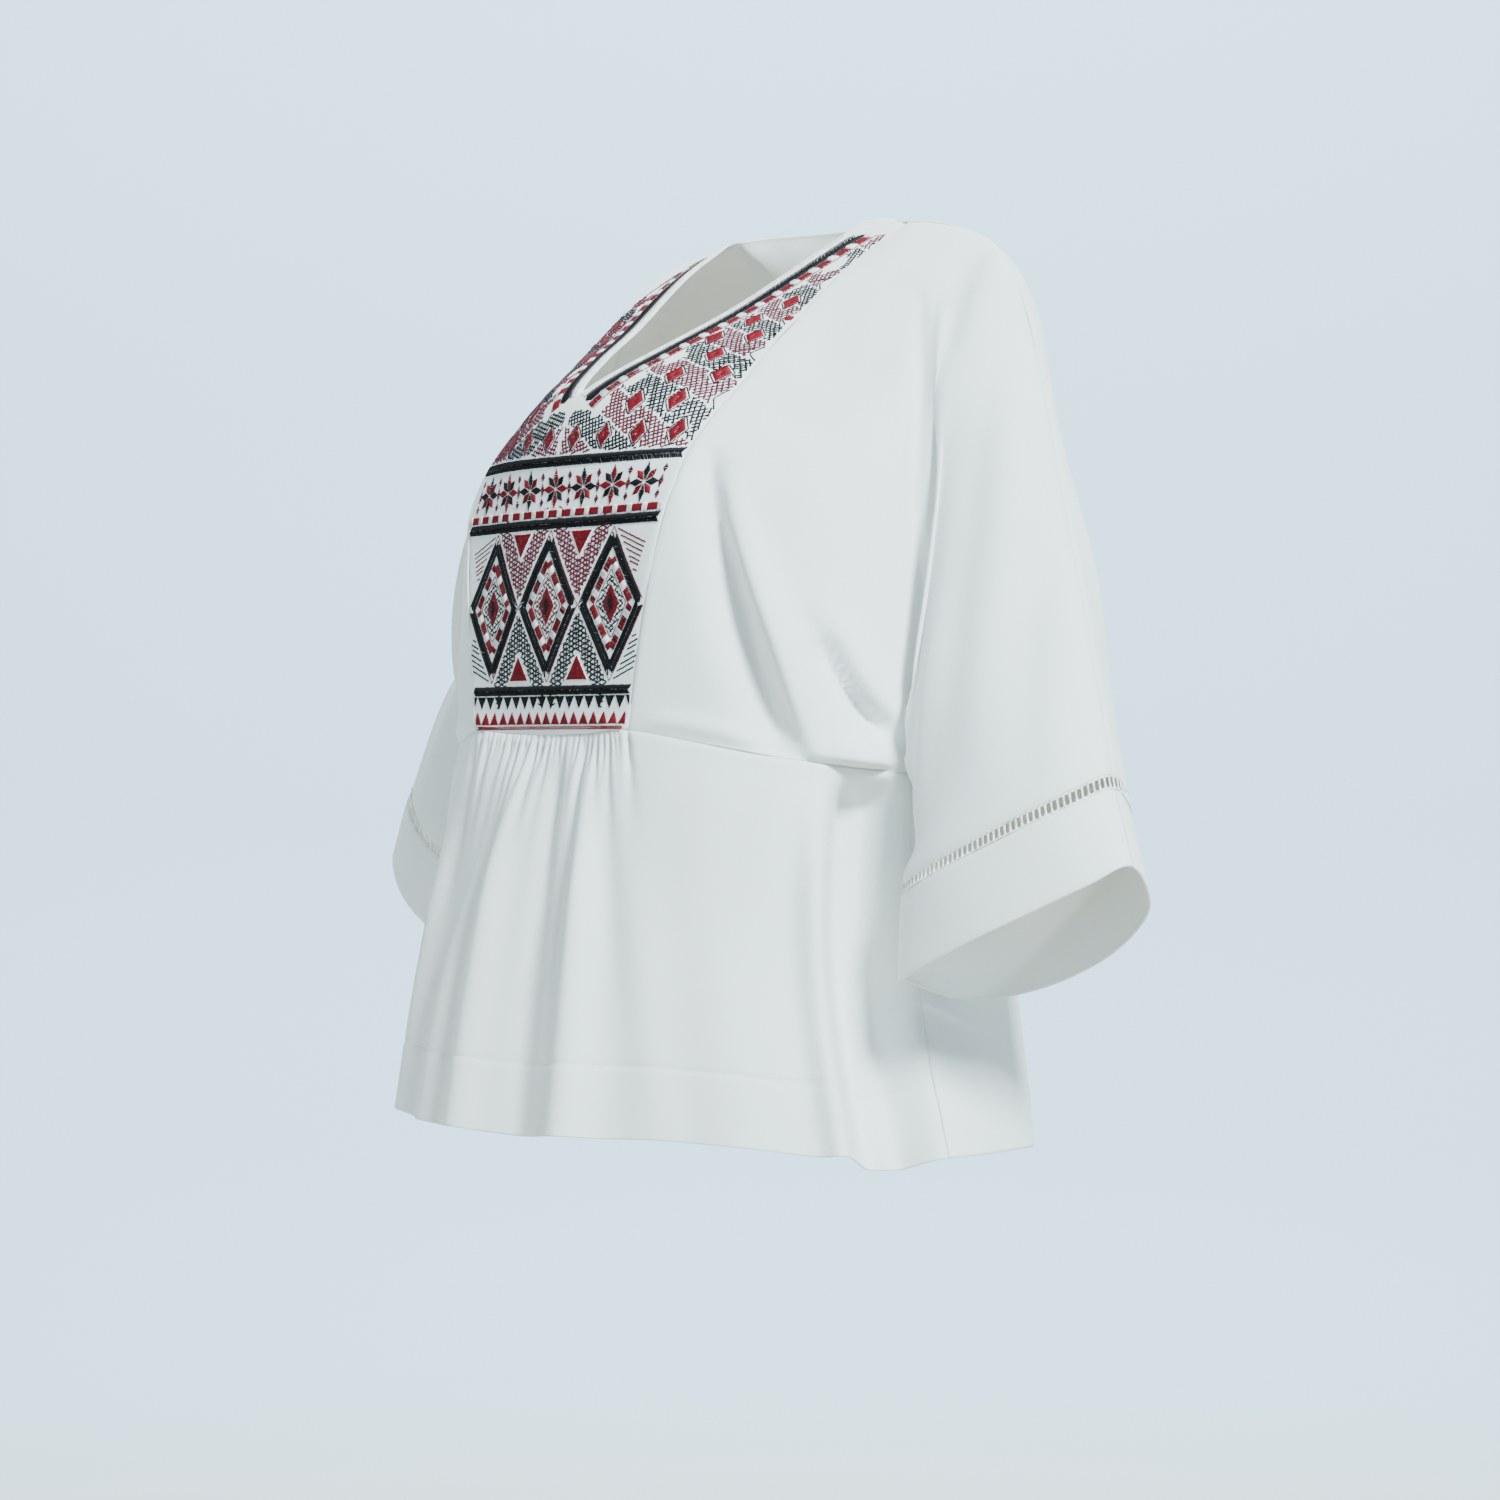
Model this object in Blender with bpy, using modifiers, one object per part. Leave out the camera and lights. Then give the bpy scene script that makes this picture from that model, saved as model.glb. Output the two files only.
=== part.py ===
"""Embroidered v-neck top in white cotton, worn on a general figure.

Run with blender --background --python part.py, or from the text editor.
Metres, +Z up.  The front faces -Y and the wearer's left is +X.  The origin
is the middle of the shoulder line, where the wearer carries the top.

Each cut piece is an open surface through a short table of points, and a
Solidify modifier gives it the thickness of the cloth.
"""

import math

import bmesh
import bpy
import numpy as np

WALL = 0.0012                   # thickness of every cloth wall
SEAM_TRIM = 0.00016             # each piece stops this far short of a seam
SIDE_TRIM = 0.0004              # the same at the side seams, where the walls turn a little
FOLD_TRIM = 0.0009              # the same over the shoulder and under the arm

# Front panel with the neck's V.  Its seams and its middle run down the chest.
# Rows go from the shoulder to the waist seam.
BIB_ROWS = (
    # height   seam x   seam y   middle y
    (0.004, 0.0970, 0.004, -0.013),
    (-0.001, 0.0972, 0.000, -0.022),
    (-0.020, 0.0998, -0.029, -0.049),
    (-0.038, 0.1022, -0.056, -0.071),
    (-0.062, 0.1035, -0.084, -0.104),
    (-0.084, 0.1028, -0.108, -0.139),
    (-0.109, 0.1018, -0.131, -0.173),
    (-0.134, 0.1030, -0.158, -0.187),
    (-0.174, 0.1035, -0.183, -0.193),
    (-0.206, 0.0975, -0.190, -0.196),
    (-0.260, 0.0875, -0.1945, -0.198),
    (-0.315, 0.0785, -0.197, -0.199),
)
# The panel's upper edge, as a share of its half width and a height
NECK_EDGE = (
    # share    height
    (0.000, -0.1095),
    (0.140, -0.0935),
    (0.286, -0.0780),
    (0.406, -0.0610),
    (0.534, -0.0380),
    (0.625, -0.0180),
    (0.690, 0.0030),
    (0.845, 0.0015),
    (1.000, -0.0010),
)

# The seam under the bust, from the middle to the side
WAIST_SEAM = (
    (0.0000, -0.1990, -0.3150),
    (0.0400, -0.1985, -0.3143),
    (0.0785, -0.1970, -0.3125),
    (0.1300, -0.1740, -0.3215),
    (0.1700, -0.1330, -0.3310),
    (0.1880, -0.0730, -0.3370),
)

# The side fronts, from the panel's seam to the armhole
CHEST = {
    # row          inner                     outer                     armhole
    "shoulder": ((0.120, 0.004, -0.004), (0.145, 0.006, -0.011), (0.168, 0.008, -0.0216)),
    "collar": ((0.124, -0.044, -0.034), (0.149, -0.034, -0.038), (0.172, -0.021, -0.048)),
    "upper": ((0.126, -0.102, -0.104), (0.153, -0.074, -0.100), (0.178, -0.044, -0.100)),
    "bust": ((0.135, -0.158, -0.172), (0.163, -0.120, -0.170), (0.185, -0.055, -0.170)),
    "under": ((0.134, -0.172, -0.258), (0.168, -0.134, -0.260), (0.188, -0.067, -0.255)),
    "seam": ((0.130, -0.174, -0.3215), (0.170, -0.133, -0.331), (0.188, -0.073, -0.337)),
}
CHEST_SEAM_HEIGHTS = (-0.001, -0.035, -0.107, -0.174, -0.258, -0.3125)

# The back, from its middle to the armhole, and below it to the side seam
BACK = {
    "top": ((0.000, 0.052, 0.009), (0.036, 0.043, 0.009), (0.059, 0.020, 0.007), (0.067, -0.002, 0.003),
            (0.0972, 0.000, -0.001), (0.120, 0.004, -0.004), (0.145, 0.006, -0.011), (0.168, 0.008, -0.0216)),
    "yoke": ((0.000, 0.060, -0.035), (0.035, 0.058, -0.032), (0.058, 0.051, -0.030), (0.076, 0.045, -0.030),
             (0.100, 0.041, -0.034), (0.123, 0.037, -0.037), (0.149, 0.032, -0.043), (0.172, 0.025, -0.053)),
    "blade": ((0.000, 0.066, -0.100), (0.035, 0.067, -0.098), (0.060, 0.066, -0.097), (0.080, 0.064, -0.097),
              (0.102, 0.061, -0.098), (0.126, 0.056, -0.100), (0.151, 0.048, -0.104), (0.176, 0.036, -0.110)),
    "middle": ((0.000, 0.070, -0.190), (0.036, 0.070, -0.190), (0.062, 0.068, -0.190), (0.083, 0.065, -0.190),
               (0.105, 0.060, -0.190), (0.132, 0.050, -0.192), (0.158, 0.036, -0.196), (0.182, 0.014, -0.200)),
    "low": ((0.000, 0.070, -0.265), (0.037, 0.070, -0.265), (0.064, 0.067, -0.265), (0.086, 0.063, -0.265),
            (0.109, 0.057, -0.265), (0.139, 0.044, -0.267), (0.167, 0.018, -0.270), (0.186, -0.022, -0.275)),
    "under": ((0.000, 0.070, -0.325), (0.038, 0.069, -0.325), (0.066, 0.065, -0.325), (0.089, 0.060, -0.325),
              (0.112, 0.053, -0.325), (0.143, 0.036, -0.328), (0.170, 0.000, -0.331), (0.188, -0.073, -0.337)),
    "hip": ((0.000, 0.074, -0.440), (0.042, 0.073, -0.440), (0.074, 0.070, -0.440), (0.100, 0.064, -0.440),
            (0.126, 0.052, -0.440), (0.154, 0.032, -0.440), (0.180, -0.004, -0.440), (0.198, -0.078, -0.440)),
    "hem": ((0.000, 0.080, -0.563), (0.046, 0.079, -0.563), (0.082, 0.074, -0.563), (0.112, 0.066, -0.562),
            (0.141, 0.047, -0.561), (0.174, 0.023, -0.560), (0.210, -0.018, -0.558), (0.234, -0.084, -0.556)),
}
BACK_UPPER_ROWS = 6
BACK_SEAM_COLUMN = 4            # the back's column behind the front panel's seam

# Sleeve sections from the armhole outward.  Each is a loop between a point on
# the arm's upper side and one under it, with its depth to the front and back.
SLEEVE = {
    #            over the arm              under the arm            front   back   sags
    "first": ((0.195, 0.003, -0.045), (0.196, -0.074, -0.345), 0.036, 0.047, 0.000, 0.000),
    "second": ((0.226, -0.003, -0.115), (0.208, -0.076, -0.360), 0.040, 0.044, 0.003, -0.001),
    "third": ((0.263, -0.017, -0.200), (0.212, -0.078, -0.376), 0.042, 0.045, 0.006, 0.000),
    "fourth": ((0.305, -0.039, -0.268), (0.215, -0.082, -0.388), 0.040, 0.051, 0.008, 0.006),
    "insert": ((0.336, -0.053, -0.338), (0.209, -0.090, -0.401), 0.036, 0.057, 0.008, 0.014),
    "cuff": ((0.359, -0.060, -0.388), (0.210, -0.096, -0.456), 0.032, 0.061, 0.008, 0.024),
}
LOOP_FULLNESS = 0.85            # below 1 the loops are fuller than ellipses

# The gathered lower front, from the middle to the side seam
SKIRT = {
    "upper": ((0.000, -0.215, -0.375), (0.044, -0.212, -0.375), (0.088, -0.202, -0.375),
              (0.136, -0.180, -0.377), (0.175, -0.140, -0.380), (0.190, -0.074, -0.384)),
    "lower": ((0.000, -0.234, -0.462), (0.056, -0.230, -0.462), (0.110, -0.211, -0.462),
              (0.154, -0.182, -0.464), (0.186, -0.143, -0.464), (0.203, -0.079, -0.466)),
    "hem": ((0.000, -0.251, -0.548), (0.066, -0.244, -0.5475), (0.130, -0.214, -0.546),
            (0.175, -0.184, -0.549), (0.214, -0.144, -0.554), (0.234, -0.084, -0.556)),
}
SKIRT_PANEL_COLUMN = 2          # the column below the front panel's seam
GATHERS = 22                    # between the front panel's two seams
GATHER_DEPTH = 0.0024
GATHER_FADE = 0.058             # depth falls away over this length
GATHER_START = 0.30             # share of the depth right at the seam
FLUTES = (
    # column  width   depth   begins below the seam
    (-4.10, 0.45, 0.0040, 0.060),
    (-2.70, 0.50, 0.0080, 0.030),
    (-1.55, 0.34, 0.0090, 0.012),
    (-0.72, 0.30, 0.0075, 0.008),
    (0.05, 0.38, 0.0120, 0.006),
    (0.95, 0.30, 0.0085, 0.010),
    (1.72, 0.36, 0.0100, 0.012),
    (2.95, 0.55, 0.0070, 0.040),
    (4.30, 0.45, 0.0035, 0.080),
)

# The openwork strip set in above each cuff
INSERT_SHARE = 0.135            # of the length from the sleeve's end to the cuff's edge
SLOTS_PER_HALF = 48
SLOT_WIDTH_SHARE = 0.52         # of the distance from slot to slot
RAIL_SHARE = 0.15               # each rail's share of the strip's height

# Steps across each surface
ROW_STEPS = 12
BACK_STEPS = 10
CHEST_STEPS = 8
SLEEVE_STEPS = 11
CUFF_STEPS = 3
SKIRT_SIDE_STEPS = 11
SKIRT_LEVELS = (0.0, 0.006, 0.016, 0.032, 0.054, 0.082, 0.116, 0.152, 0.192, 0.234)

COTTON = (0.80, 0.82, 0.81)
PANEL_COTTON = (0.78, 0.79, 0.79)
INSERT_COTTON = (0.74, 0.75, 0.73)


def smooth(points, at):
    """Points of a smooth curve through all but the first and last of the given ones.

    The outer two steer the ends.  The places in at count from 0 at the second.
    """
    at = np.asarray(at, dtype=float)
    first = np.clip(at.astype(int), 0, len(points) - 4)
    share = (at - first).reshape((-1,) + (1,) * (points.ndim - 1))
    a, b, c, d = (points[first + step] for step in range(4))
    bend = 2 * a - 5 * b + 4 * c - d
    turn = 3 * b - a - 3 * c + d
    return 0.5 * (2 * b + (c - a) * share + bend * share ** 2 + turn * share ** 3)


def surface(net, rows, columns):
    """Smooth surface through a net whose outer rows and columns only steer it."""
    along = smooth(net, rows)
    return np.swapaxes(smooth(np.swapaxes(along, 0, 1), columns), 0, 1)


def beyond(edge, inner):
    """The steering line one step outside an edge that has no neighbour."""
    return 2 * edge - inner


def framed(net, above, below, before, after):
    """A net with its four steering lines round it."""
    tall = np.concatenate([above[None], net, below[None]])
    before = np.concatenate([beyond(before[0], before[1])[None], before, beyond(before[-1], before[-2])[None]])
    after = np.concatenate([beyond(after[0], after[1])[None], after, beyond(after[-1], after[-2])[None]])
    return np.concatenate([before[:, None], tall, after[:, None]], axis=1)


def ease(value):
    """0 to 1 with level ends."""
    value = np.clip(value, 0.0, 1.0)
    return value * value * (3 - 2 * value)


def pin_last_row(grid, edge, reach):
    """Bring the last row onto an edge, and fade the shift out over the rows before it."""
    shift = edge - grid[-1]
    for step in range(reach):
        grid[-1 - step] += shift * (1 - step / reach)
    return grid


def pin_last_column(grid, edge, reach):
    """The same for the last column."""
    return np.swapaxes(pin_last_row(np.swapaxes(grid, 0, 1), edge, reach), 0, 1)


def trim(grid, top=0.0, bottom=0.0, left=0.0, right=0.0):
    """Draw the edges of a grid in, each by its own distance."""
    grid = grid.copy()

    def drawn(edge, inner, distance):
        step = inner - edge
        return edge + step * (distance / np.linalg.norm(step, axis=-1, keepdims=True))

    if top:
        grid[0] = drawn(grid[0], grid[1], top)
    if bottom:
        grid[-1] = drawn(grid[-1], grid[-2], bottom)
    if left:
        grid[:, 0] = drawn(grid[:, 0], grid[:, 1], left)
    if right:
        grid[:, -1] = drawn(grid[:, -1], grid[:, -2], right)
    return grid


def mirrored(grid):
    """The same grid on the other side, with its columns turned round."""
    return grid[:, ::-1] * np.array((-1.0, 1.0, 1.0))


def both_sides(grid):
    """A half that starts in the middle, made whole."""
    return np.concatenate([mirrored(grid)[:, :-1], grid], axis=1)


def bib_point(share, height):
    """Points of the front panel at a share of its half width and a height."""
    table = np.array(BIB_ROWS)[::-1]
    seam_x, seam_y, middle_y = (np.interp(height, table[:, 0], table[:, k]) for k in (1, 2, 3))
    return np.stack([share * seam_x, middle_y + (seam_y - middle_y) * share ** 2, height], axis=-1)


def waist_seam(columns):
    """Points of the seam under the bust."""
    line = np.array(WAIST_SEAM)
    behind = np.array(BACK["under"][-2])
    mirror = line[1] * np.array((-1.0, 1.0, 1.0))
    return smooth(np.concatenate([mirror[None], line, behind[None]]), columns)


def bib_surface(shares):
    """The front panel's half, rows from the neck edge down to the waist seam."""
    edge = np.array(NECK_EDGE)
    top = np.interp(shares, edge[:, 0], edge[:, 1])
    bottom = waist_seam(shares * SKIRT_PANEL_COLUMN)
    beside = front_surface(np.array([0.0]))[:, 0]
    seam = np.empty((2 * len(beside) - 1, 3))
    seam[::2] = beside
    seam[1::2] = (beside[1:] + beside[:-1]) / 2
    down = (seam[:, 2] - seam[0, 2]) / (seam[-1, 2] - seam[0, 2])
    height = top + (bottom[:, 2] - top) * down[:, None]
    grid = bib_point(np.broadcast_to(shares, height.shape), height)
    softened = grid.copy()
    softened[1:-1] = (grid[:-2] + 2 * grid[1:-1] + grid[2:]) / 4
    return pin_last_column(pin_last_row(softened, bottom, 3), seam, 3)


def sleeve_loop(row, side):
    """Six points down one side of a sleeve section, from over the arm to under it.

    They follow a cosine along the section's axis and a power of the sine to
    its side, and sag by the same power.
    """
    over, under = np.array(row[0]), np.array(row[1])
    depth, sag = (row[2], row[4]) if side == "front" else (-row[3], row[5])
    axis = over - under
    forward = np.array((0.0, -1.0, 0.0))
    forward -= axis * (forward @ axis) / (axis @ axis)
    forward /= np.linalg.norm(forward)
    turn = np.linspace(0.0, math.pi, 6)[:, None]
    bulge = np.clip(np.sin(turn), 0.0, 1.0) ** LOOP_FULLNESS
    down = np.array((0.0, 0.0, -sag))
    return (over + under) / 2 + axis / 2 * np.cos(turn) + (forward * depth + down) * bulge


def seam_column():
    """The front panel's seam, at the side fronts' six rows."""
    heights = np.array(CHEST_SEAM_HEIGHTS)
    return bib_point(np.ones(6), heights)


def front_net():
    """Six rows of the side front, from the panel's seam to the cuff's edge."""
    columns = [seam_column()]
    columns += [np.array([row[k] for row in CHEST.values()]) for k in range(3)]
    columns += [sleeve_loop(row, "front") for row in SLEEVE.values()]
    return np.stack(columns, axis=1)


def back_net():
    """All rows of the back to its side, and the sleeve's loops beside the upper six."""
    body = np.array([row for row in BACK.values()])
    loops = np.stack([sleeve_loop(row, "back") for row in SLEEVE.values()], axis=1)
    return body, np.concatenate([body[:BACK_UPPER_ROWS], loops], axis=1)


def skirt_net():
    """Rows of the lower front, from the waist seam to the hem."""
    return np.concatenate([np.array(WAIST_SEAM)[None], np.array([row for row in SKIRT.values()])])


def underarm(columns):
    """The seam under the arm, from the armhole outward."""
    line = np.array([WAIST_SEAM[-1]] + [row[1] for row in SLEEVE.values()])
    line = np.concatenate([beyond(line[0], line[1])[None], line, beyond(line[-1], line[-2])[None]])
    return smooth(line, columns)


def front_surface(columns):
    """The side front and its half of the sleeve at the given columns."""
    net = front_net()
    upper = back_net()[1]
    behind = upper[1, BACK_SEAM_COLUMN:]
    below = skirt_net()[1, SKIRT_PANEL_COLUMN:]
    below = np.concatenate([below[:3], upper[4, BACK_SEAM_COLUMN + 3:]])
    inside = bib_point(np.full(6, 0.75), np.array(CHEST_SEAM_HEIGHTS))
    inside[0] = BACK["top"][BACK_SEAM_COLUMN - 1]
    inside[-1] = WAIST_SEAM[SKIRT_PANEL_COLUMN - 1]
    net = framed(net, behind, below, inside, beyond(net[:, -1], net[:, -2]))
    rows = np.linspace(0.0, 5.0, ROW_STEPS + 1)
    grid = surface(net, rows, columns)
    edge = np.where((columns <= 3.0)[:, None],
                    waist_seam(np.minimum(columns, 3.0) + SKIRT_PANEL_COLUMN),
                    underarm(np.maximum(columns - 3.0, 0.0)))
    grid = pin_last_row(grid, edge, 4)
    at_panel = surface(net, rows, [0.0])[:, 0]
    shift = bib_point(np.ones(len(rows)), at_panel[:, 2]) - at_panel
    return grid + shift[:, None] * (1 - ease(columns / 1.2))[None, :, None]


def back_surface(columns):
    """The back's upper rows and its half of the sleeve at the given columns."""
    upper = back_net()[1]
    front = front_net()
    over = np.concatenate([beyond(upper[0, :BACK_SEAM_COLUMN], upper[1, :BACK_SEAM_COLUMN]), front[1]])
    below = np.concatenate([back_net()[0][BACK_UPPER_ROWS, :-1], front[4, 3:]])
    middle = upper[:, 1] * np.array((-1.0, 1.0, 1.0))
    net = framed(upper, over, below, middle, beyond(upper[:, -1], upper[:, -2]))
    rows = np.linspace(0.0, 5.0, ROW_STEPS + 1)
    grid = surface(net, rows, columns)
    corner = BACK_SEAM_COLUMN - 1
    straight = np.stack([np.interp(columns, range(upper.shape[1]), upper[0, :, k]) for k in range(3)], axis=-1)
    neck = np.concatenate([middle[:1], upper[0, :corner + 1], beyond(upper[0, corner], upper[0, corner - 1])[None]])
    straight = np.where((columns < corner)[:, None], smooth(neck, np.minimum(columns, corner)), straight)
    at_neck = (columns < BACK_SEAM_COLUMN)[:, None]
    fade = 1 - ease(rows / 1.2)
    grid += fade[:, None, None] * np.where(at_neck, straight - grid[0], 0.0)
    side = float(len(BACK["top"]) - 1)
    edge = np.where((columns < side)[:, None], grid[-1], underarm(np.maximum(columns - side, 0.0)))
    return pin_last_row(grid, edge, 4)


def back_lower_surface(columns, first_row):
    """The back below the arms, starting from the upper part's last row."""
    body = back_net()[0]
    skirt = skirt_net()
    beside = np.stack([skirt[0, -2], 0.24 * skirt[1, -2] + 0.76 * skirt[2, -2], skirt[3, -2]])
    net = framed(body[5:], body[4], beyond(body[-1], body[-2]),
                 body[5:, 1] * np.array((-1.0, 1.0, 1.0)), beside)
    levels = np.array(SKIRT_LEVELS)
    rows = np.interp(levels / levels[-1], (0.0, 0.47, 1.0), (0.0, 1.0, 2.0))
    grid = surface(net, rows, columns)
    grid = pin_last_row(grid[::-1], first_row, 3)[::-1]
    side = skirt_surface(np.array([4.8, 5.0]), levels)[:, 1]
    return pin_last_column(grid, side, 3)


def fold_depth(column, below):
    """How far the lower front stands out from its plain form, in metres.

    Small gathers crowd under the front panel and fade, and broad flutes grow
    out of them toward the hem.
    """
    half = float(SKIRT_PANEL_COLUMN)
    count = (column + half) / (2 * half) * GATHERS
    uneven = 0.72 + 0.28 * np.sin(1.9 * np.floor(count) + 0.6)
    inside = np.abs(column) < half
    start = GATHER_START + (1 - GATHER_START) * ease(below / 0.010)
    small = GATHER_DEPTH * uneven * start * np.exp(-(below / GATHER_FADE) ** 1.4)
    depth = np.where(inside, small * -np.cos(2 * math.pi * count), 0.0)
    for place, width, height, begins in FLUTES:
        grown = ease((below - begins) / 0.16)
        depth = depth + height * grown * (np.exp(-((column - place) / width) ** 2) - 0.30)
    return depth


def skirt_surface(columns, levels):
    """The whole lower front, with its gathers and flutes."""
    net = skirt_net()
    body = back_net()[0]
    mirror = net[:, 1] * np.array((-1.0, 1.0, 1.0))
    behind = np.stack([body[5, -2], 0.57 * body[5, -2] + 0.43 * body[6, -2],
                       0.84 * body[6, -2] + 0.16 * body[7, -2], body[7, -2]])
    net = framed(net, beyond(net[0], net[1]), beyond(net[-1], net[-2]), mirror, behind)
    share = levels / levels[-1]
    rows = np.interp(share, (0.0, 0.26, 0.63, 1.0), (0.0, 1.0, 2.0, 3.0))
    half = surface(net, rows, np.abs(columns))
    half[0] = waist_seam(np.abs(columns))
    half[..., 0] *= np.where(columns < 0, -1.0, 1.0)
    across = np.gradient(half, axis=1)
    outward = np.stack([across[..., 1], -across[..., 0], np.zeros(half.shape[:2])], axis=-1)
    outward /= np.linalg.norm(outward, axis=-1, keepdims=True)
    depth = fold_depth(columns[None, :], levels[:, None])
    at_side = ease((5.0 - np.abs(columns)) / 0.8)
    return half + outward * (depth * at_side)[..., None]


def cloth(name, colour):
    """A plain cotton material."""
    material = bpy.data.materials.new(name)
    material.use_nodes = True
    shader = material.node_tree.nodes["Principled BSDF"]
    shader.inputs["Base Color"].default_value = (*colour, 1.0)
    shader.inputs["Roughness"].default_value = 0.85
    shader.inputs["Metallic"].default_value = 0.0
    material.diffuse_color = (*colour, 1.0)
    return material


def add_wall(collection, name, vertices, faces, colour):
    """A named piece of cloth: a surface that Solidify makes a wall of."""
    mesh = bpy.data.meshes.new(name)
    mesh.from_pydata(vertices.tolist(), [], faces)
    body = bmesh.new()
    body.from_mesh(mesh)
    bmesh.ops.remove_doubles(body, verts=body.verts, dist=0.00002)
    bmesh.ops.recalc_face_normals(body, faces=body.faces)
    body.to_mesh(mesh)
    body.free()
    piece = bpy.data.objects.new(name, mesh)
    collection.objects.link(piece)
    mesh.materials.append(cloth(name + "_cotton", colour))
    wall = piece.modifiers.new("wall", "SOLIDIFY")
    wall.thickness = WALL
    wall.offset = 0.0
    return piece


def grid_faces(rows, columns, first=0):
    """Quads of a grid whose vertices are numbered row by row."""
    return [
        (first + r * columns + c, first + r * columns + c + 1,
         first + (r + 1) * columns + c + 1, first + (r + 1) * columns + c)
        for r in range(rows - 1) for c in range(columns - 1)
    ]


def add_grids(collection, name, grids, colour):
    """A piece of cloth made of one or more grids that share their edges."""
    vertices = []
    faces = []
    for grid in grids:
        faces += grid_faces(grid.shape[0], grid.shape[1], len(vertices))
        vertices += list(grid.reshape(-1, 3))
    return add_wall(collection, name, np.array(vertices), faces, colour)


def add_bib(collection):
    """The front panel with the neck's V and the two shoulder strips."""
    shares = np.array([row[0] for row in NECK_EDGE])
    half = trim(bib_surface(shares), bottom=SEAM_TRIM, right=SEAM_TRIM)
    on_shoulder = shares > 0.68
    lowered = trim(half, top=FOLD_TRIM)
    half[0, on_shoulder] = lowered[0, on_shoulder]
    add_grids(collection, "bib", [both_sides(half)], PANEL_COTTON)


def sleeve_columns(first):
    """Columns from the armhole to the openwork strip."""
    return first + np.linspace(0.0, 5.0, SLEEVE_STEPS + 1)


def add_fronts(collection):
    """The two side fronts, each cut in one with the front of its sleeve."""
    columns = np.concatenate([np.linspace(0.0, 3.0, CHEST_STEPS + 1)[:-1], sleeve_columns(3.0)])
    whole = front_surface(columns)
    left = trim(whole, top=FOLD_TRIM, bottom=FOLD_TRIM)
    before_arm = columns < 2.9
    left[-1, before_arm] = trim(whole, bottom=SEAM_TRIM)[-1, before_arm]
    left = trim(left, left=SEAM_TRIM, right=SEAM_TRIM)
    add_grids(collection, "front_left", [left], COTTON)
    add_grids(collection, "front_right", [mirrored(left)], COTTON)


def add_back(collection):
    """The back, in one piece from the neck to the hem and out along both sleeves."""
    side = float(len(BACK["top"]) - 1)
    body_columns = np.concatenate([[0.0, 0.9, 1.6, 2.1, 2.6], np.linspace(3.0, side, BACK_STEPS - 2)])
    columns = np.concatenate([body_columns[:-1], sleeve_columns(side)])
    corner = len(body_columns) - 1
    upper = back_surface(columns)
    lower = back_lower_surface(body_columns, upper[-1, :corner + 1])
    lower = trim(lower, right=SIDE_TRIM)
    raised = trim(upper, bottom=FOLD_TRIM)
    upper[-1, corner + 1:] = raised[-1, corner + 1:]
    upper[-1, corner] = lower[0, corner] + raised[-1, corner] - upper[-1, corner]
    lower[0] = upper[-1, :corner + 1]
    on_shoulder = columns > 2.9
    lowered = trim(upper, top=FOLD_TRIM)
    upper[0, on_shoulder] = lowered[0, on_shoulder]
    upper = trim(upper, right=SEAM_TRIM)
    add_grids(collection, "back", [both_sides(upper), both_sides(lower)], COTTON)


def add_skirt(collection):
    """The lower front, gathered under the panel and plain at its sides."""
    half = float(SKIRT_PANEL_COLUMN)
    middle = np.linspace(-half, half, GATHERS * 4 + 1)
    side = np.linspace(half, 5.0, SKIRT_SIDE_STEPS + 1)[1:]
    columns = np.concatenate([-side[::-1], middle, side])
    grid = skirt_surface(columns, np.array(SKIRT_LEVELS))
    grid = trim(grid, top=SEAM_TRIM, left=SIDE_TRIM, right=SIDE_TRIM)
    add_grids(collection, "skirt_front", [grid], COTTON)


def insert_strip(half_surface, first):
    """Vertices and faces of one half of the openwork strip.

    The slots stand side by side.  A rail runs above them and one below, and
    a rail's outer edge has one point for every two slots.
    """
    bar = 1 - SLOT_WIDTH_SHARE
    slots = np.arange(SLOTS_PER_HALF)
    width = SLOTS_PER_HALF + bar
    sides = np.stack([slots + bar, slots + 1], axis=1).ravel() / width
    places = np.concatenate([[0.0], sides, [1.0]])
    outer = np.concatenate([[0.0], (slots[1::2][:-1] + 1 + bar / 2) / width, [1.0]])
    levels = first + INSERT_SHARE * np.array((0.0, RAIL_SHARE, 1 - RAIL_SHARE, 1.0))
    rows = half_surface(levels)
    rows = trim(rows, left=SEAM_TRIM, right=SEAM_TRIM)
    trimmed_ends = trim(np.swapaxes(rows, 0, 1), left=FOLD_TRIM, right=FOLD_TRIM)
    rows = np.swapaxes(trimmed_ends, 0, 1)
    lengths = np.linspace(0.0, 1.0, rows.shape[0])

    def line(level, at):
        return np.stack([np.interp(at, lengths, rows[:, level, k]) for k in range(3)], axis=-1)

    vertices = np.concatenate([line(0, outer), line(1, places), line(2, places), line(3, outer)])
    top = 0
    upper = top + len(outer)
    lower = upper + len(places)
    bottom = lower + len(places)
    faces = []
    for k in range(len(outer) - 1):
        first_place = 4 * k if k == 0 else 4 * k + 1
        last_place = 4 * k + 5 if k < len(outer) - 2 else len(places) - 1
        run = list(range(first_place, last_place + 1))
        faces.append([top + k, top + k + 1] + [upper + p for p in run[::-1]])
        faces.append([lower + p for p in run] + [bottom + k + 1, bottom + k])
    for p in range(0, len(places) - 1, 2):
        faces.append([upper + p, upper + p + 1, lower + p + 1, lower + p])
    return vertices, faces


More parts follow.
